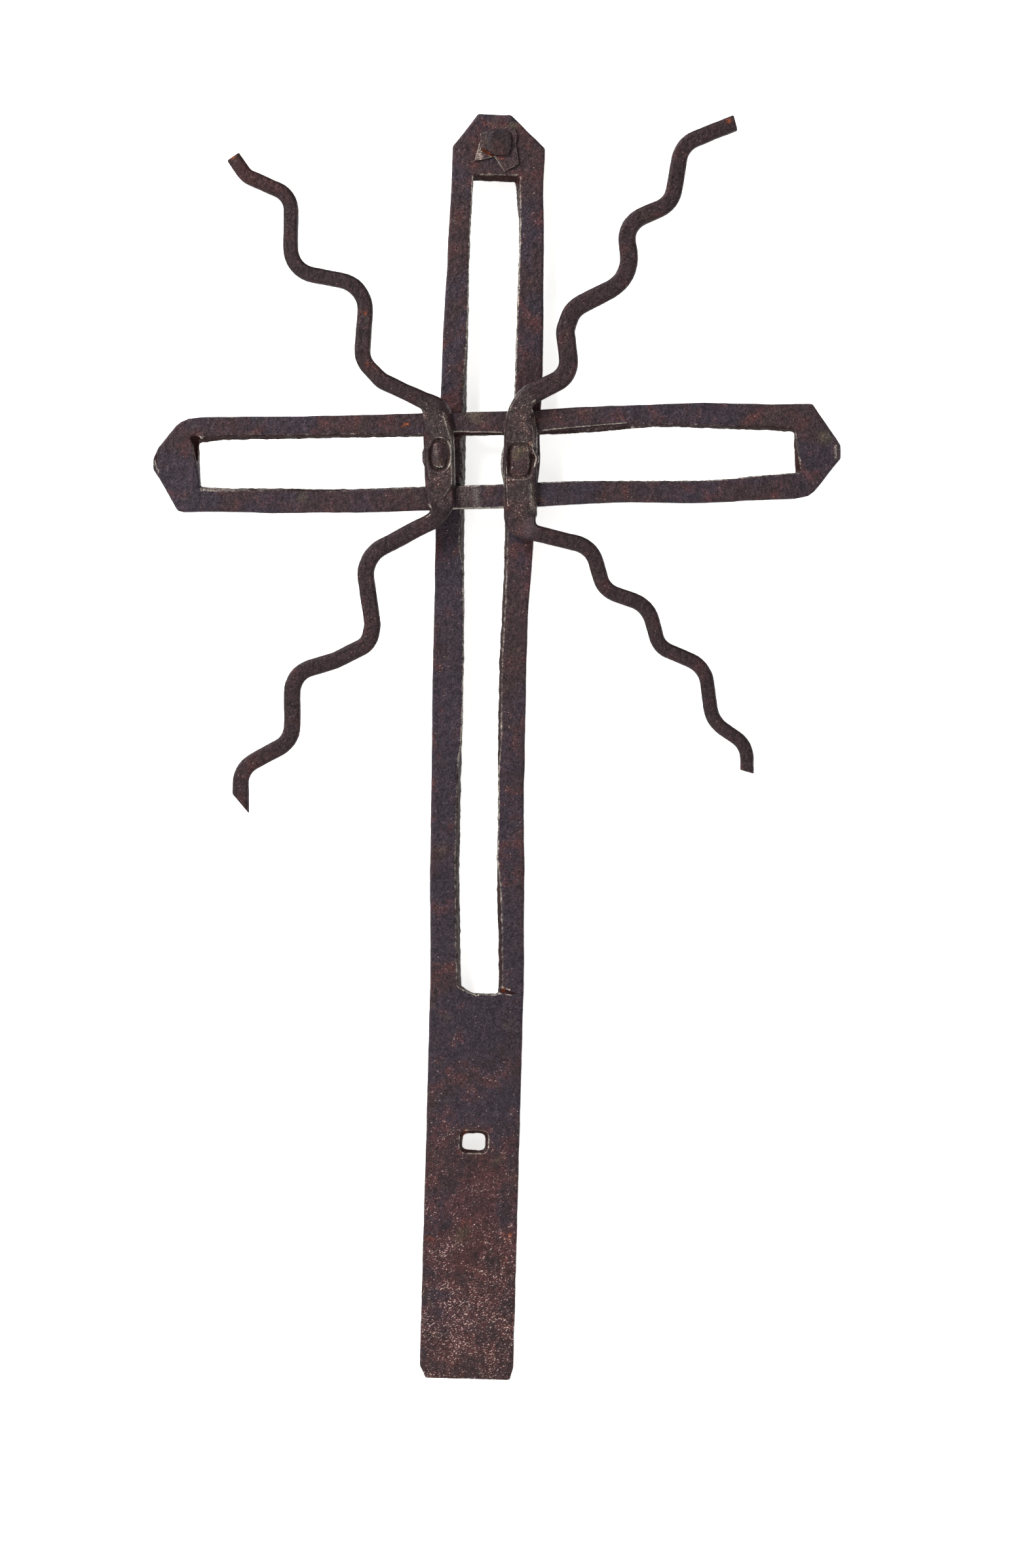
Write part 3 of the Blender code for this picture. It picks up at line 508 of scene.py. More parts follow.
def surface_tree():
    """Soften a remeshed solid, then dent, scale and pit it along its normals."""
    sizes = (
        "Dent Size", "Dent Depth", "Scale Size", "Scale Depth", "Pit Size", "Pit Depth",
        "Pitted Below", "Pit Fade", "Wander", "Wander Size", "Chisel Size", "Chisel Depth", "Arris Height",
    )
    inputs = {label: "Float" for label in sizes}
    inputs.update({"Softening": "Int", "Arris Width": "Int", "Material": "Material"})
    tree, given, put = new_geometry_tree("hammered surface", inputs)
    given = given.outputs

    place = put("GeometryNodeInputPosition").outputs[0]
    soft = put("GeometryNodeBlurAttribute", {
        "Value": place, "Iterations": given["Softening"],
    }, data_type="FLOAT_VECTOR")
    body = put("GeometryNodeSetPosition", {0: given["Geometry"], "Position": soft.outputs[0]}).outputs[0]

    # How far a point stands out of its surroundings marks the arrises
    place = put("GeometryNodeInputPosition").outputs[0]
    normal = put("GeometryNodeInputNormal").outputs[0]
    around = put("GeometryNodeBlurAttribute", {
        "Value": place, "Iterations": given["Arris Width"],
    }, data_type="FLOAT_VECTOR")
    stand = put("ShaderNodeVectorMath", {0: place, 1: around.outputs[0]}, operation="SUBTRACT")
    stand = put("ShaderNodeVectorMath", {0: stand.outputs[0], 1: normal}, operation="DOT_PRODUCT")
    arris = put("ShaderNodeMath", {0: stand.outputs["Value"], 1: given["Arris Height"]}, operation="DIVIDE")
    body = put("GeometryNodeStoreNamedAttribute", {
        0: body, "Name": "arris", "Value": arris.outputs[0],
    }, domain="POINT")

    # Hammer dents: round hollows that meet in soft ridges
    finer = put("ShaderNodeMath", {0: 1.0, 1: given["Dent Size"]}, operation="DIVIDE")
    dent = put(
        "ShaderNodeTexVoronoi", {"Vector": place, "Scale": finer.outputs[0], "Smoothness": 0.6},
        feature="SMOOTH_F1",
    )
    dent = put(
        "ShaderNodeMapRange",
        {"Value": dent.outputs["Distance"], "From Max": 0.7, "To Min": -1.0, "To Max": 0.0},
        interpolation_type="SMOOTHSTEP",
    )
    dent = put("ShaderNodeMath", {0: dent.outputs[0], 1: given["Dent Depth"]}, operation="MULTIPLY")

    # Forge scale: fine flat patches
    finer = put("ShaderNodeMath", {0: 1.0, 1: given["Scale Size"]}, operation="DIVIDE")
    scale = put("ShaderNodeTexNoise", {
        "Vector": place, "Scale": finer.outputs[0], "Detail": 3.0, "Roughness": 0.62,
    })
    scale = put("ShaderNodeMapRange", {
        "Value": scale.outputs[0], "From Min": 0.3, "From Max": 0.7, "To Min": -1.0, "To Max": 0.6,
    })
    scale = put("ShaderNodeMath", {0: scale.outputs[0], 1: given["Scale Depth"]}, operation="MULTIPLY")

    # Rust pits, dense below one height and rare above it
    finer = put("ShaderNodeMath", {0: 1.0, 1: given["Pit Size"]}, operation="DIVIDE")
    pit = put("ShaderNodeTexNoise", {
        "Vector": place, "Scale": finer.outputs[0], "Detail": 2.0, "Roughness": 0.55,
    })
    pit = put(
        "ShaderNodeMapRange", {"Value": pit.outputs[0], "From Min": 0.50, "From Max": 0.66},
        interpolation_type="SMOOTHSTEP",
    )
    height = put("ShaderNodeSeparateXYZ", {0: place}).outputs["Z"]
    low = put("ShaderNodeMath", {0: given["Pitted Below"], 1: given["Pit Fade"]}, operation="SUBTRACT")
    high = put("ShaderNodeMath", {0: given["Pitted Below"], 1: given["Pit Fade"]}, operation="ADD")
    dense = put("ShaderNodeMapRange", {
        "Value": height, "From Min": low.outputs[0], "From Max": high.outputs[0], "To Min": 1.0,
        "To Max": 0.12,
    })
    pit = put("ShaderNodeMath", {0: pit.outputs[0], 1: dense.outputs[0]}, operation="MULTIPLY").outputs[0]
    body = put("GeometryNodeStoreNamedAttribute", {
        0: body.outputs[0], "Name": "pit", "Value": pit,
    }, domain="POINT")
    pit = put("ShaderNodeMath", {0: pit, 1: given["Pit Depth"]}, operation="MULTIPLY")

    # Chisel marks in the slots
    finer = put("ShaderNodeMath", {0: 1.0, 1: given["Chisel Size"]}, operation="DIVIDE")
    cut = put("ShaderNodeTexNoise", {
        "Vector": place, "Scale": finer.outputs[0], "Detail": 3.0, "Roughness": 0.7,
    })
    cut = put("ShaderNodeMapRange", {
        "Value": cut.outputs[0], "From Min": 0.3, "From Max": 0.7, "To Min": -0.8, "To Max": 0.5,
    })
    walls = put("GeometryNodeInputNamedAttribute", {"Name": "cut"}, data_type="FLOAT").outputs[0]
    cut = put("ShaderNodeMath", {0: cut.outputs[0], 1: walls}, operation="MULTIPLY")
    cut = put("ShaderNodeMath", {0: cut.outputs[0], 1: given["Chisel Depth"]}, operation="MULTIPLY")

    rise = put("ShaderNodeMath", {0: dent.outputs[0], 1: scale.outputs[0]}, operation="ADD")
    rise = put("ShaderNodeMath", {0: rise.outputs[0], 1: cut.outputs[0]}, operation="ADD")
    rise = put("ShaderNodeMath", {0: rise.outputs[0], 1: pit.outputs[0]}, operation="SUBTRACT")
    rise = put("ShaderNodeVectorMath", {0: normal, "Scale": rise.outputs[0]}, operation="SCALE")

    # The edges wander in the plane of the cross, alike on pieces that lie on each other
    finer = put("ShaderNodeMath", {0: 1.0, 1: given["Wander Size"]}, operation="DIVIDE")
    drift = put("ShaderNodeTexNoise", {"Vector": place, "Scale": finer.outputs[0], "Detail": 1.0})
    drift = put("ShaderNodeVectorMath", {
        0: drift.outputs["Color"], 1: (0.5, 0.5, 0.5),
    }, operation="SUBTRACT")
    reach = put("ShaderNodeCombineXYZ", {"X": given["Wander"], "Z": given["Wander"]})
    drift = put("ShaderNodeVectorMath", {0: drift.outputs[0], 1: reach.outputs[0]}, operation="MULTIPLY")
    move = put("ShaderNodeVectorMath", {0: rise.outputs[0], 1: drift.outputs[0]}, operation="ADD")
    body = put("GeometryNodeSetPosition", {0: body.outputs[0], "Offset": move.outputs[0]})
    body = put("GeometryNodeSetShadeSmooth", {0: body.outputs[0], "Shade Smooth": True})
    end_tree(put, body.outputs[0], given["Material"])
    return tree


def thin(piece):
    """Join small flat triangles until the piece holds no more than it may."""
    piece.data.calc_loop_triangles()
    share = MOST_TRIANGLES / len(piece.data.loop_triangles)
    if share < 1:
        fewer = piece.modifiers.new("Fewer triangles", "DECIMATE")
        fewer.ratio = share
        settle(piece)


def read_points(mesh):
    """The mesh's points as rows of x, y and z."""
    points = np.empty(len(mesh.vertices) * 3)
    mesh.vertices.foreach_get("co", points)
    return points.reshape(-1, 3)


def read_normals(mesh):
    """The mesh's normals at its points."""
    normals = np.empty(len(mesh.vertices) * 3, np.float32)
    mesh.vertex_normals.foreach_get("vector", normals)
    return normals.reshape(-1, 3)


def write_points(mesh, points):
    """Move the mesh's points."""
    mesh.vertices.foreach_set("co", points.ravel())
    mesh.update()


def fade(distance, reach, steep=MARK_RIM_STEEP):
    """One near a place, falling smoothly to zero at its reach."""
    near = np.clip(steep * (1 - distance / reach), 0, 1)
    return near * near * (3 - 2 * near)


def line_to(points, start, end):
    """How far each point lies from the line between two places, and its share of the way along."""
    start, end = np.array(start, float) * MM, np.array(end, float) * MM
    run = end - start
    share = np.clip((points - start) @ run / max(run @ run, MM ** 4), 0, 1)
    return np.linalg.norm(points - start - share[:, None] * run, axis=1), share


def marked(points, marks, rim=MARK_RIM, steep=MARK_RIM_STEEP):
    """How strongly each point of the front is marked."""
    strength = np.zeros(len(points))
    for mark in marks:
        away, share = line_to(points[:, (0, 2)], mark.start, mark.end)
        reach = (mark.width + share * (mark.tip - mark.width)) * rim * MM
        strength = np.maximum(strength, mark.strength * fade(away, reach, steep))
    return strength


def in_moats(points, normals, moats):
    """One in the ring round each rivet, and how far its hole's wall moves in to close on it."""
    ring = np.zeros(len(points))
    closing = np.zeros((len(points), 3))
    for moat in moats:
        side = points[:, 0] / MM - moat.side
        up = points[:, 2] / MM - moat.up
        power = moat.squareness
        out = (np.abs(side / moat.wide) ** power + np.abs(up / moat.tall) ** power) ** (1 / power)
        ring = np.maximum(ring, np.clip(1 + MOAT_FLAT - np.abs(out - 1) / MOAT_WIDTH, 0, 1))
        wall = (np.abs(out - 1) < HOLE_FIT) & (np.abs(normals[:, 1]) < HOLE_TURN)
        closing[:, (0, 2)] += (wall * MOAT_CLOSING * MM)[:, None] * normals[:, (0, 2)]
    return ring, closing


def hammer(points, blows):
    """Flatten the points under each blow, from the plane that it leaves."""
    for blow in blows:
        away, share = line_to(points, blow.start, blow.end)
        centre = (np.array(blow.start) + share[:, None] * np.subtract(blow.end, blow.start)) * MM
        facing = np.array(blow.facing) / np.linalg.norm(blow.facing)
        above = np.clip((points - centre) @ facing, 0, None)
        points = points - (above * fade(away, 2 * blow.reach * MM))[:, None] * facing
    return points


def pull(points, pulls):
    """Drag the points round each place some way out."""
    for drag in pulls:
        near = fade(np.linalg.norm(points - np.array(drag.at) * MM, axis=1), drag.reach * MM)
        way = np.array(drag.way) / np.linalg.norm(drag.way)
        points = points + (near * drag.far * MM)[:, None] * way
    return points


def slot_band(points, slot):
    """One in and beside a bar's slot."""
    away = points / MM - (CROSSING[0], 0, CROSSING[1])
    offset = np.abs(away @ slot.across)
    run = away @ (slot.across[2], 0, -slot.across[0])
    return ((offset < slot.half) & (run > -slot.before) & (run < slot.after)).astype(float)


def store(mesh, name, values):
    """Keep a value for each point under a name."""
    mesh.attributes.new(name, "FLOAT", "POINT").data.foreach_set("value", values.astype(np.float32))


def work(mesh, wear, slot):
    """Hammer, gouge and mark a remeshed solid."""
    points = read_points(mesh)
    normals = read_normals(mesh)
    front = np.clip(-2 * normals[:, 1], 0, 1)
    band = slot_band(points, slot) if slot else np.zeros(len(points))
    walls = band * np.clip(WALL_STEEP * (1 - np.abs(normals[:, 1])) - WALL_START, 0, 1)
    bared = marked(points, wear.bared)
    depth = marked(points, wear.gouges, GOUGE_RIM, GOUGE_RIM_STEEP) * front
    ring, closing = in_moats(points, normals, wear.moats)
    ring = ring * front
    store(mesh, "cut", walls)
    # Painted shade: slot walls, gouges and the rings round the rivets are darkened in colour, except where
    # marked bare; the same mask makes the walls rust red and matt
    dark = np.maximum(walls, np.maximum(GOUGE_SHADE * depth, ring))
    store(mesh, "rust_and_painted_shade", np.clip(dark, 0, 1) * (1 - bared))
    store(mesh, "reddened", marked(points, wear.reddened))
    store(mesh, "blued", marked(points, wear.blued))
    store(mesh, "rubbed", marked(points, wear.rubbed))
    store(mesh, "rusted", marked(points, wear.rusted))
    store(mesh, "bared", bared)
    # The rims of the gouges stay as dark as the rest, without bare metal or painted highlight, unless a
    # line is marked on them
    band = band * np.clip(1 - GOUGE_SHADE * marked(points, wear.gouges, GOUGE_CALM), 0, 1)
    # keen: where the arrises show bare metal and painted highlights, from the marks and along the slots
    store(mesh, "keen", np.maximum(np.maximum(bared, marked(points, wear.lined)), SLOT_WEAR_AND_HIGHLIGHT * band))
    points = pull(hammer(points, wear.blows), wear.pulls)
    points[:, 1] += (depth + MOAT_DEPTH * ring) * MM
    write_points(mesh, points + closing)


def forged_piece(node, name, grain, material, wear=Wear(), slot=None):
    """Make one piece of the cross from its solid."""
    sizes = bpy.context.scene.cross_sizes
    solid = bmesh.new()
    solid.from_mesh(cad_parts[node].data)
    bmesh.ops.remove_doubles(solid, verts=solid.verts, dist=0.001 * MM)
    mesh = bpy.data.meshes.new(name)
    solid.to_mesh(mesh)
    solid.free()
    piece = bpy.data.objects.new(name, mesh)
    bpy.context.scene.collection.objects.link(piece)
    fine = piece.modifiers.new("Fine mesh", "REMESH")
    fine.mode = "VOXEL"
    fine.voxel_size = grain
    settle(piece)
    work(piece.data, wear, slot)

    values = {
        "Softening": 1, "Arris Width": 3, "Arris Height": ARRIS_SHARE * grain,
        "Dent Size": sizes.dent_size, "Dent Depth": sizes.dent_depth,
        "Scale Size": sizes.scale_size, "Scale Depth": sizes.scale_depth,
        "Pit Size": sizes.pit_size, "Pit Depth": sizes.pit_depth,
        "Pitted Below": sizes.pitted_below, "Pit Fade": sizes.pit_fade,
        "Wander": sizes.wander, "Wander Size": sizes.wander_size,
        "Chisel Size": sizes.chisel_size, "Chisel Depth": sizes.chisel_depth,
        "Material": material,
    }
    tree = bpy.data.node_groups.get("hammered surface") or surface_tree()
    run_tree(piece, tree, values)
    thin(piece)

    low, high = (np.array(corner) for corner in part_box(node))
    write_points(piece.data, np.clip(read_points(piece.data), low, high))
    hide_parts(node)
    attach(piece, "root")
    return piece


# How much of each finish an iron piece shows, from 0 to 1, and its values for the shader
Look = namedtuple("Look", "light violet red orange olive bare flecks metallic rough bump")


def iron_finish(name, look):
    """Forged iron under scale and thin rust, worked out from place, arrises, pits and marks."""
    colours = bpy.context.scene.cross_colours
    sizes = bpy.context.scene.cross_patterns
    material = bpy.data.materials.new(name)
    material.use_nodes = True
    tree = material.node_tree
    shader = tree.nodes["Principled BSDF"]
    put = partial(add_node, tree)
    place = put("ShaderNodeTexCoord").outputs["Object"]
    arris, pit, rust_and_painted_shade, reddened, blued, rubbed, rusted, bared, keen = (
        put("ShaderNodeAttribute", attribute_name=attribute).outputs["Fac"]
        for attribute in (
            "arris", "pit", "rust_and_painted_shade", "reddened", "blued", "rubbed", "rusted", "bared", "keen",
        )
    )

    # Broad clouds, patches the size of a thumb nail, crumbs, and grain as fine as the picture shows
    cloud = put("ShaderNodeTexNoise", {
        "Vector": place, "Scale": 1 / sizes.cloud, "Detail": 4.0, "Roughness": 0.6,
    })
    patch = put("ShaderNodeTexNoise", {
        "Vector": place, "Scale": 1 / sizes.patch, "Detail": 4.0, "Roughness": 0.62,
    })
    crumb = put("ShaderNodeTexNoise", {
        "Vector": place, "Scale": 1 / sizes.crumb, "Detail": 3.0, "Roughness": 0.6,
    })
    grain = put("ShaderNodeTexNoise", {
        "Vector": place, "Scale": 1 / sizes.grain, "Detail": 2.0, "Roughness": 0.8,
    })
    height = put("ShaderNodeSeparateXYZ", {0: place}).outputs["Z"]
    cloud, patch, crumb, grain = (noise.outputs[0] for noise in (cloud, patch, crumb, grain))

    bloom = put("ShaderNodeMath", {0: blued, 1: 0.12, 2: cloud}, operation="MULTIPLY_ADD")
    bloom = put("ShaderNodeMapRange", {
        "Value": bloom.outputs[0], "From Min": 0.44, "From Max": 0.60, "To Max": look.violet,
    }, interpolation_type="SMOOTHSTEP")
    foot = put("ShaderNodeMapRange", {
        "Value": height, "From Min": -sizes.foot_fade, "From Max": sizes.foot_fade, "To Min": 0.15,
        "To Max": 0.0,
    })
    rusty = put("ShaderNodeMath", {0: patch, 1: foot.outputs[0]}, operation="ADD")
    rusty = put("ShaderNodeMath", {0: reddened, 1: 0.25, 2: rusty.outputs[0]}, operation="MULTIPLY_ADD")
    rusty = put("ShaderNodeMapRange", {
        "Value": rusty.outputs[0], "From Min": 0.50, "From Max": 0.72, "To Max": look.red,
    }, interpolation_type="SMOOTHSTEP")
    olive = put("ShaderNodeTexNoise", {
        "Vector": place, "Scale": 1 / sizes.stain, "Detail": 5.0, "Roughness": 0.7, "Distortion": 0.6,
    })
    olive = put("ShaderNodeMath", {0: rubbed, 1: 0.3, 2: olive.outputs[0]}, operation="MULTIPLY_ADD")
    olive = put("ShaderNodeMapRange", {
        "Value": olive.outputs[0], "From Min": 0.56, "From Max": 0.82, "To Max": look.olive,
    }, interpolation_type="SMOOTHSTEP")
    in_pit = put("ShaderNodeMath", {0: pit, 1: 0.35 * look.red}, operation="MULTIPLY")
    in_cut = put("ShaderNodeMath", {0: rust_and_painted_shade, 1: 0.7}, operation="MULTIPLY")
    orange = put("ShaderNodeMath", {0: crumb, 1: 0.8, 2: -0.9}, operation="MULTIPLY_ADD")
    orange = put("ShaderNodeMath", {0: rusted, 1: 1.2, 2: orange.outputs[0]}, operation="MULTIPLY_ADD")
    orange = put("ShaderNodeMapRange", {
        "Value": orange.outputs[0], "From Min": -0.2, "From Max": 0.75, "To Max": look.orange,
    }, interpolation_type="SMOOTHSTEP")

    # Arrises rubbed bare in stretches, broken by the crumbs; along the marked lines and the slots this
    # steel colour is also a painted highlight
    stretch = put("ShaderNodeMapRange", {
        "Value": patch, "From Min": 0.45, "From Max": 0.68, "To Min": 0.12, "To Max": 0.5,
    })
    keen = put("ShaderNodeMath", {0: keen, 1: 2.0, 2: stretch.outputs[0]}, operation="MULTIPLY_ADD")
    keen = put("ShaderNodeMath", {0: keen.outputs[0], 1: arris}, operation="MULTIPLY")
    keen = put("ShaderNodeMath", {0: crumb, 1: 1.2, 2: keen.outputs[0]}, operation="MULTIPLY_ADD")
    bare = put("ShaderNodeMapRange", {
        "Value": keen.outputs[0], "From Min": 1.15, "From Max": 1.9, "To Max": look.bare,
    }, interpolation_type="SMOOTHSTEP")

    # Short slanting flecks where pits and sand catch the light, thicker towards the foot
    slant = put("ShaderNodeMapping", {
        "Vector": place, "Rotation": (0.0, math.radians(-25), 0.0), "Scale": (2.0, 1.0, 1.0),
    }, vector_type="TEXTURE")
    dash = put("ShaderNodeTexNoise", {"Vector": slant.outputs[0], "Scale": 1 / sizes.fleck, "Detail": 1.0})
    many = put("ShaderNodeMapRange", {
        "Value": height, "From Min": sizes.flecked_below, "From Max": sizes.flecked_above,
        "To Min": 0.125, "To Max": 0.0,
    })
    many = put("ShaderNodeMath", {0: bared, 1: 0.16, 2: many.outputs[0]}, operation="MULTIPLY_ADD")
    many = put("ShaderNodeMath", {0: patch, 1: 0.3, 2: many.outputs[0]}, operation="MULTIPLY_ADD")
    dash = put("ShaderNodeMath", {0: dash.outputs[0], 1: many.outputs[0]}, operation="ADD")
    fleck = put("ShaderNodeMapRange", {
        "Value": dash.outputs[0], "From Min": 0.89, "From Max": 0.96, "To Max": look.flecks,
    }, interpolation_type="SMOOTHSTEP")
    # The steel veil over the bare marks is rubbed metal, and on the rays' flats a painted sheen
    veil = put("ShaderNodeMath", {0: bared, 1: bared}, operation="MULTIPLY")
    veil = put("ShaderNodeMath", {0: veil.outputs[0], 1: 0.28}, operation="MULTIPLY")

    layers = (
        (colours.violet, bloom), (colours.red, rusty), (colours.olive, olive), (colours.red, in_pit),
        (colours.red, in_cut), (colours.orange, orange), (colours.steel, veil), (colours.steel, bare),
        (colours.glint, fleck),
    )
    colour = (*colours.brown, 1.0)
    for layer, mask in layers:
        mixed = put("ShaderNodeMix", {0: mask.outputs[0], 6: colour, 7: (*layer, 1.0)}, data_type="RGBA")
        colour = mixed.outputs[2]
    for pattern, spread in ((grain, 0.9), (patch, 0.2), (crumb, 0.32)):
        light = put("ShaderNodeMapRange", {
            "Value": pattern, "From Min": 0.3, "From Max": 0.7,
            "To Min": (1 - spread) * look.light, "To Max": (1 + spread) * look.light,
        })
        colour = put("ShaderNodeVectorMath", {
            0: colour, "Scale": light.outputs[0],
        }, operation="SCALE").outputs[0]
    # Painted shade: the walls, gouges and rivet rings are darkened to about a third
    dark = put("ShaderNodeMapRange", {"Value": rust_and_painted_shade, "To Min": 1.0, "To Max": 0.35})
    colour = put("ShaderNodeVectorMath", {
        0: colour, "Scale": dark.outputs[0],
    }, operation="SCALE").outputs[0]
    tree.links.new(colour, shader.inputs["Base Color"])

    # The cut walls are rust and hardly shine
    for socket, front, wall in (("Metallic", look.metallic, 0.1), ("Specular IOR Level", 0.5, 0.1)):
        shine = put("ShaderNodeMapRange", {"Value": rust_and_painted_shade, "To Min": front, "To Max": wall})
        tree.links.new(shine.outputs[0], shader.inputs[socket])
    matt = put("ShaderNodeMapRange", {
        "Value": patch, "From Min": 0.3, "From Max": 0.7, "To Min": look.rough - 0.1,
        "To Max": look.rough + 0.1,
    })
    matt = put("ShaderNodeMath", {
        0: bare.outputs[0], 1: -0.15, 2: matt.outputs[0],
    }, operation="MULTIPLY_ADD")
    tree.links.new(matt.outputs[0], shader.inputs["Roughness"])
    fine = put("ShaderNodeBump", {"Height": grain, "Strength": look.bump, "Distance": sizes.grain_relief})
    coarse = put("ShaderNodeBump", {
        "Height": crumb, "Strength": look.bump, "Distance": sizes.crumb_relief, "Normal": fine.outputs[0],
    })
    tree.links.new(coarse.outputs[0], shader.inputs["Normal"])
    return material


def scaled_iron():
    """Flat bar left black from the fire, under thin brown rust: dark, grainy, half matt."""
    return bpy.data.materials.get("forge_scaled_iron") or iron_finish("forge_scaled_iron", Look(
        light=1.0, violet=0.8, red=0.6, orange=0.8, olive=0.5, bare=0.75, flecks=0.8,
        metallic=0.55, rough=0.5, bump=0.8,
    ))


def ray_iron():
    """Square bar hammered all over: a little lighter, its arrises rubbed."""
    return bpy.data.materials.get("hammered_ray_iron") or iron_finish("hammered_ray_iron", Look(
        light=0.91, violet=0.12, red=0.5, orange=0.8, olive=0.4, bare=0.85, flecks=0.75,
        metallic=0.6, rough=0.47, bump=0.9,
    ))


def rivet_iron():
    """Rivets peened and rubbed smooth: greyer, with brown rust in the marks."""
    return bpy.data.materials.get("peened_rivet_iron") or iron_finish("peened_rivet_iron", Look(
        light=1.0, violet=0.3, red=0.7, orange=0.8, olive=0.8, bare=0.9, flecks=0.7,
        metallic=0.6, rough=0.45, bump=0.9,
    ))


def stud_iron():
    """Stud on the head, rusted in with the scrap: darker than the other rivets."""
    return bpy.data.materials.get("rusted_stud_iron") or iron_finish("rusted_stud_iron", Look(
        light=0.85, violet=0.5, red=0.5, orange=0.5, olive=0.4, bare=0.9, flecks=0.4,
        metallic=0.5, rough=0.5, bump=0.6,
    ))


def torn_sheet():
    """Thin sheet, torn and rusted: red brown, bright along the torn edges."""
    return bpy.data.materials.get("rusted_torn_sheet") or iron_finish("rusted_torn_sheet", Look(
        light=1.02, violet=0.2, red=0.8, orange=0.9, olive=0.8, bare=1.0, flecks=0.6,
        metallic=0.5, rough=0.5, bump=0.9,
    ))


class CROSS_OT_bars(bpy.types.Operator):
    """Make the upright and the crossbar."""

    bl_idname = "cross.bars"
    bl_label = "Flat bars"

    def execute(self, context):
        grain = context.scene.cross_sizes.grain
        forged_piece(
            "upright", "forged_upright", grain, scaled_iron(), UPRIGHT_WEAR, UPRIGHT_SLOT
        )
        forged_piece(
            "crossbar", "forged_crossbar", grain, scaled_iron(), CROSSBAR_WEAR, CROSSBAR_SLOT
        )
        return {"FINISHED"}


class CROSS_OT_rays(bpy.types.Operator):
    """Make the two waved rays."""

    bl_idname = "cross.rays"
    bl_label = "Rays"

    def execute(self, context):
        grain = context.scene.cross_sizes.grain
        forged_piece("left_ray", "forged_left_ray", grain, ray_iron(), LEFT_RAY_WEAR)
        forged_piece("right_ray", "forged_right_ray", grain, ray_iron(), RIGHT_RAY_WEAR)
        return {"FINISHED"}


class CROSS_OT_rivets(bpy.types.Operator):
    """Make the three rivets."""

    bl_idname = "cross.rivets"
    bl_label = "Rivets"

    def execute(self, context):
        grain = context.scene.cross_sizes.fine_grain
        rivets = (
            ("left_rivet", rivet_iron(), LEFT_RIVET_WEAR), ("right_rivet", rivet_iron(), RIGHT_RIVET_WEAR),
            ("head_rivet", stud_iron(), HEAD_RIVET_WEAR),
        )
        for node, finish, wear in rivets:
            forged_piece(node, "peened_" + node, grain, finish, wear)
        return {"FINISHED"}


class CROSS_OT_patch(bpy.types.Operator):
    """Make the torn scrap on the head."""

    bl_idname = "cross.patch"
    bl_label = "Torn scrap"

    def execute(self, context):
        grain = context.scene.cross_sizes.fine_grain
        forged_piece("head_patch", "torn_head_patch", grain, torn_sheet(), PATCH_WEAR)
        return {"FINISHED"}


def pale_floor():
    """Matt pale floor that looks lit to its far edge; the glow lights nothing else."""
    material = bpy.data.materials.new("matt_pale_floor")
    material.use_nodes = True
    shader = material.node_tree.nodes["Principled BSDF"]
    shader.inputs["Base Color"].default_value = (*bpy.context.scene.cross_colours.paper, 1.0)
    shader.inputs["Roughness"].default_value = 0.9
    shader.inputs["Emission Color"].default_value = (*bpy.context.scene.cross_colours.paper, 1.0)
    put = partial(add_node, material.node_tree)
    seen = put("ShaderNodeLightPath").outputs["Is Camera Ray"]
    glow = put("ShaderNodeMath", {
        0: seen, 1: bpy.context.scene.cross_studio.floor_glow,
    }, operation="MULTIPLY")
    material.node_tree.links.new(glow.outputs[0], shader.inputs["Emission Strength"])
    return material


def lit_paper():
    """White paper lit until it is nearly blank; only its front shows, so the cross has a back view."""
    material = bpy.data.materials.new("lit_white_paper")
    material.use_nodes = True
    put = partial(add_node, material.node_tree)
    material.node_tree.nodes.clear()
    paper = (*bpy.context.scene.cross_colours.paper, 1.0)
    matt = put("ShaderNodeBsdfDiffuse", {"Color": paper})
    studio = bpy.context.scene.cross_studio
    glow = put("ShaderNodeEmission", {"Color": paper, "Strength": studio.paper_glow})
    front = put("ShaderNodeAddShader", {0: matt.outputs[0], 1: glow.outputs[0]})
    clear = put("ShaderNodeBsdfTransparent")
    behind = put("ShaderNodeNewGeometry").outputs["Backfacing"]
    sheet = put("ShaderNodeMixShader", {0: behind, 1: front.outputs[0], 2: clear.outputs[0]})
    put("ShaderNodeOutputMaterial", {"Surface": sheet.outputs[0]})
    return material


def area_light(name, place, size, power):
    """Add a soft square light that looks at the cross."""
    lamp = bpy.data.lights.new(name, "AREA")
    lamp.shape = "SQUARE"
    lamp.size = size
    lamp.energy = power
    light = bpy.data.objects.new(name, lamp)
    light.location = place
    heading = light.location - Vector(LIT_PLACE)
    light.rotation_euler = heading.to_track_quat("Z", "Y").to_euler()
    bpy.context.scene.collection.objects.link(light)


def plain_sheet(name, corners, material):
    """Add a flat four-cornered sheet to the stage."""
    mesh = bpy.data.meshes.new(name)
    mesh.from_pydata(corners, [], [(0, 1, 2, 3)])
    mesh.materials.append(material)
    sheet = bpy.data.objects.new(name, mesh)
    bpy.context.scene.collection.objects.link(sheet)
    return sheet


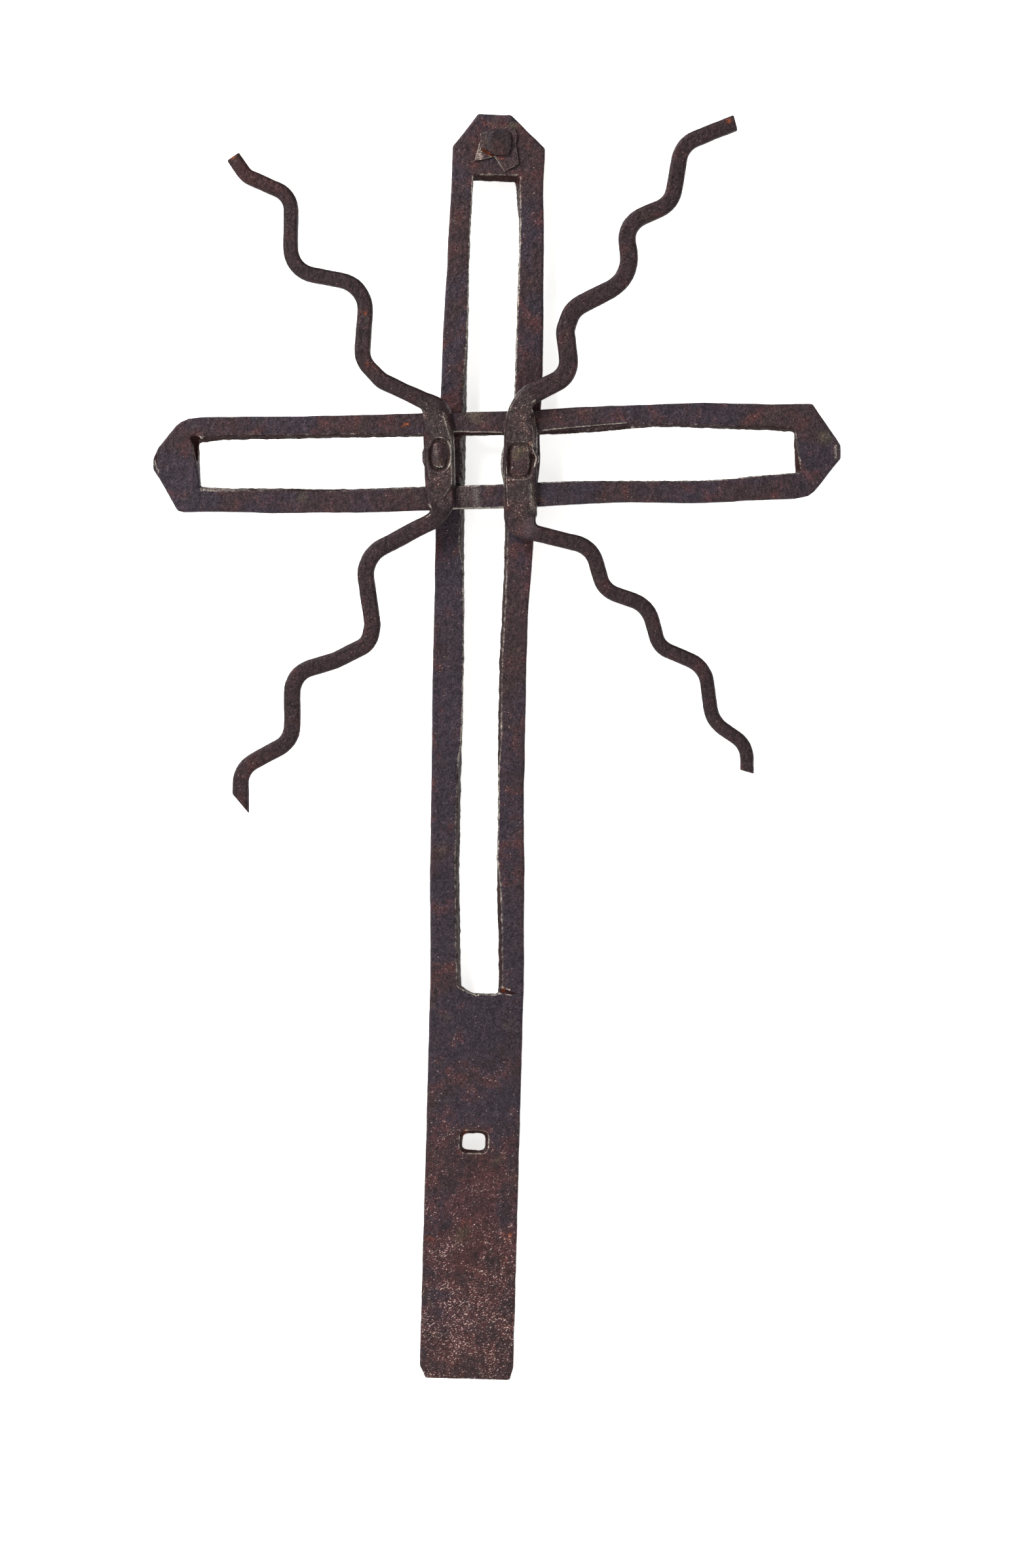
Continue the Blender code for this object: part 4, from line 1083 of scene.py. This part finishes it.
class CROSS_OT_stage(bpy.types.Operator):
    """Set the floor, the paper, the lights and the camera."""

    bl_idname = "cross.stage"
    bl_label = "Stage"

    def execute(self, context):
        scene = context.scene
        studio = scene.cross_studio
        wide = studio.reach
        low = -studio.floor_drop
        ground = [(-wide, -wide, low), (wide, -wide, low), (wide, wide, low), (-wide, wide, low)]
        plain_sheet("pale_floor", ground, pale_floor())
        gap = studio.paper_gap
        behind = [(-wide, gap, low), (wide, gap, low), (wide, gap, wide), (-wide, gap, wide)]
        backdrop = plain_sheet("white_paper", behind, lit_paper())
        backdrop.visible_shadow = False
        backdrop.visible_diffuse = False
        backdrop.visible_glossy = False

        for name, (place, size, power, share) in LIGHTS.items():
            area_light(name, place, size, share * getattr(studio, power))

        world = bpy.data.worlds.new("studio_world")
        world.use_nodes = True
        scene.world = world
        put = partial(add_node, world.node_tree)
        world.node_tree.nodes.clear()
        white = (1.0, 1.0, 1.0, 1.0)
        seen = put("ShaderNodeBackground", {"Color": white, "Strength": studio.sky_seen})
        lit = put("ShaderNodeBackground", {"Color": white, "Strength": studio.sky_light})
        ray = put("ShaderNodeLightPath").outputs["Is Camera Ray"]
        both = put("ShaderNodeMixShader", {0: ray, 1: lit.outputs[0], 2: seen.outputs[0]})
        put("ShaderNodeOutputWorld", {"Surface": both.outputs[0]})
        scene.view_settings.view_transform = "Standard"

        lens = bpy.data.cameras.new("photo_camera")
        lens.lens = lens.sensor_width * studio.distance / studio.picture_height
        lens.clip_start = 0.1
        camera = bpy.data.objects.new("photo_camera", lens)
        camera.location = (studio.side, -studio.distance, studio.height)
        camera.rotation_euler = (math.radians(90), -studio.roll, 0)
        scene.collection.objects.link(camera)
        scene.camera = camera
        return {"FINISHED"}


class CROSS_PT_panel(bpy.types.Panel):
    """Lists the steps and the values of the cross."""

    bl_idname = "CROSS_PT_panel"
    bl_label = "Forged iron cross"
    bl_space_type = "VIEW_3D"
    bl_region_type = "UI"
    bl_category = "Cross"

    def draw(self, context):
        for step in STEPS:
            self.layout.operator(step.bl_idname)
        for place in GROUPS:
            group = getattr(context.scene, place)
            box = self.layout.box()
            for name in group.__annotations__:
                box.prop(group, name)


GROUPS = {
    "cross_sizes": ForgeSizes, "cross_patterns": PatternSizes, "cross_colours": ForgeColours,
    "cross_studio": StudioSettings,
}
STEPS = (CROSS_OT_bars, CROSS_OT_rays, CROSS_OT_rivets, CROSS_OT_patch, CROSS_OT_stage)


def register():
    """Register the classes and hang the groups on the scene."""
    for kind in (*GROUPS.values(), *STEPS, CROSS_PT_panel):
        bpy.utils.register_class(kind)
    for name, kind in GROUPS.items():
        setattr(bpy.types.Scene, name, bpy.props.PointerProperty(type=kind))


def unregister():
    """Take the groups off the scene and unregister the classes."""
    for name in GROUPS:
        delattr(bpy.types.Scene, name)
    for kind in reversed((*GROUPS.values(), *STEPS, CROSS_PT_panel)):
        bpy.utils.unregister_class(kind)


def main():
    """Make every piece and the stage."""
    register()
    bpy.ops.cross.bars()
    bpy.ops.cross.rays()
    bpy.ops.cross.rivets()
    bpy.ops.cross.patch()
    bpy.ops.cross.stage()


if __name__ == "__main__":
    main()
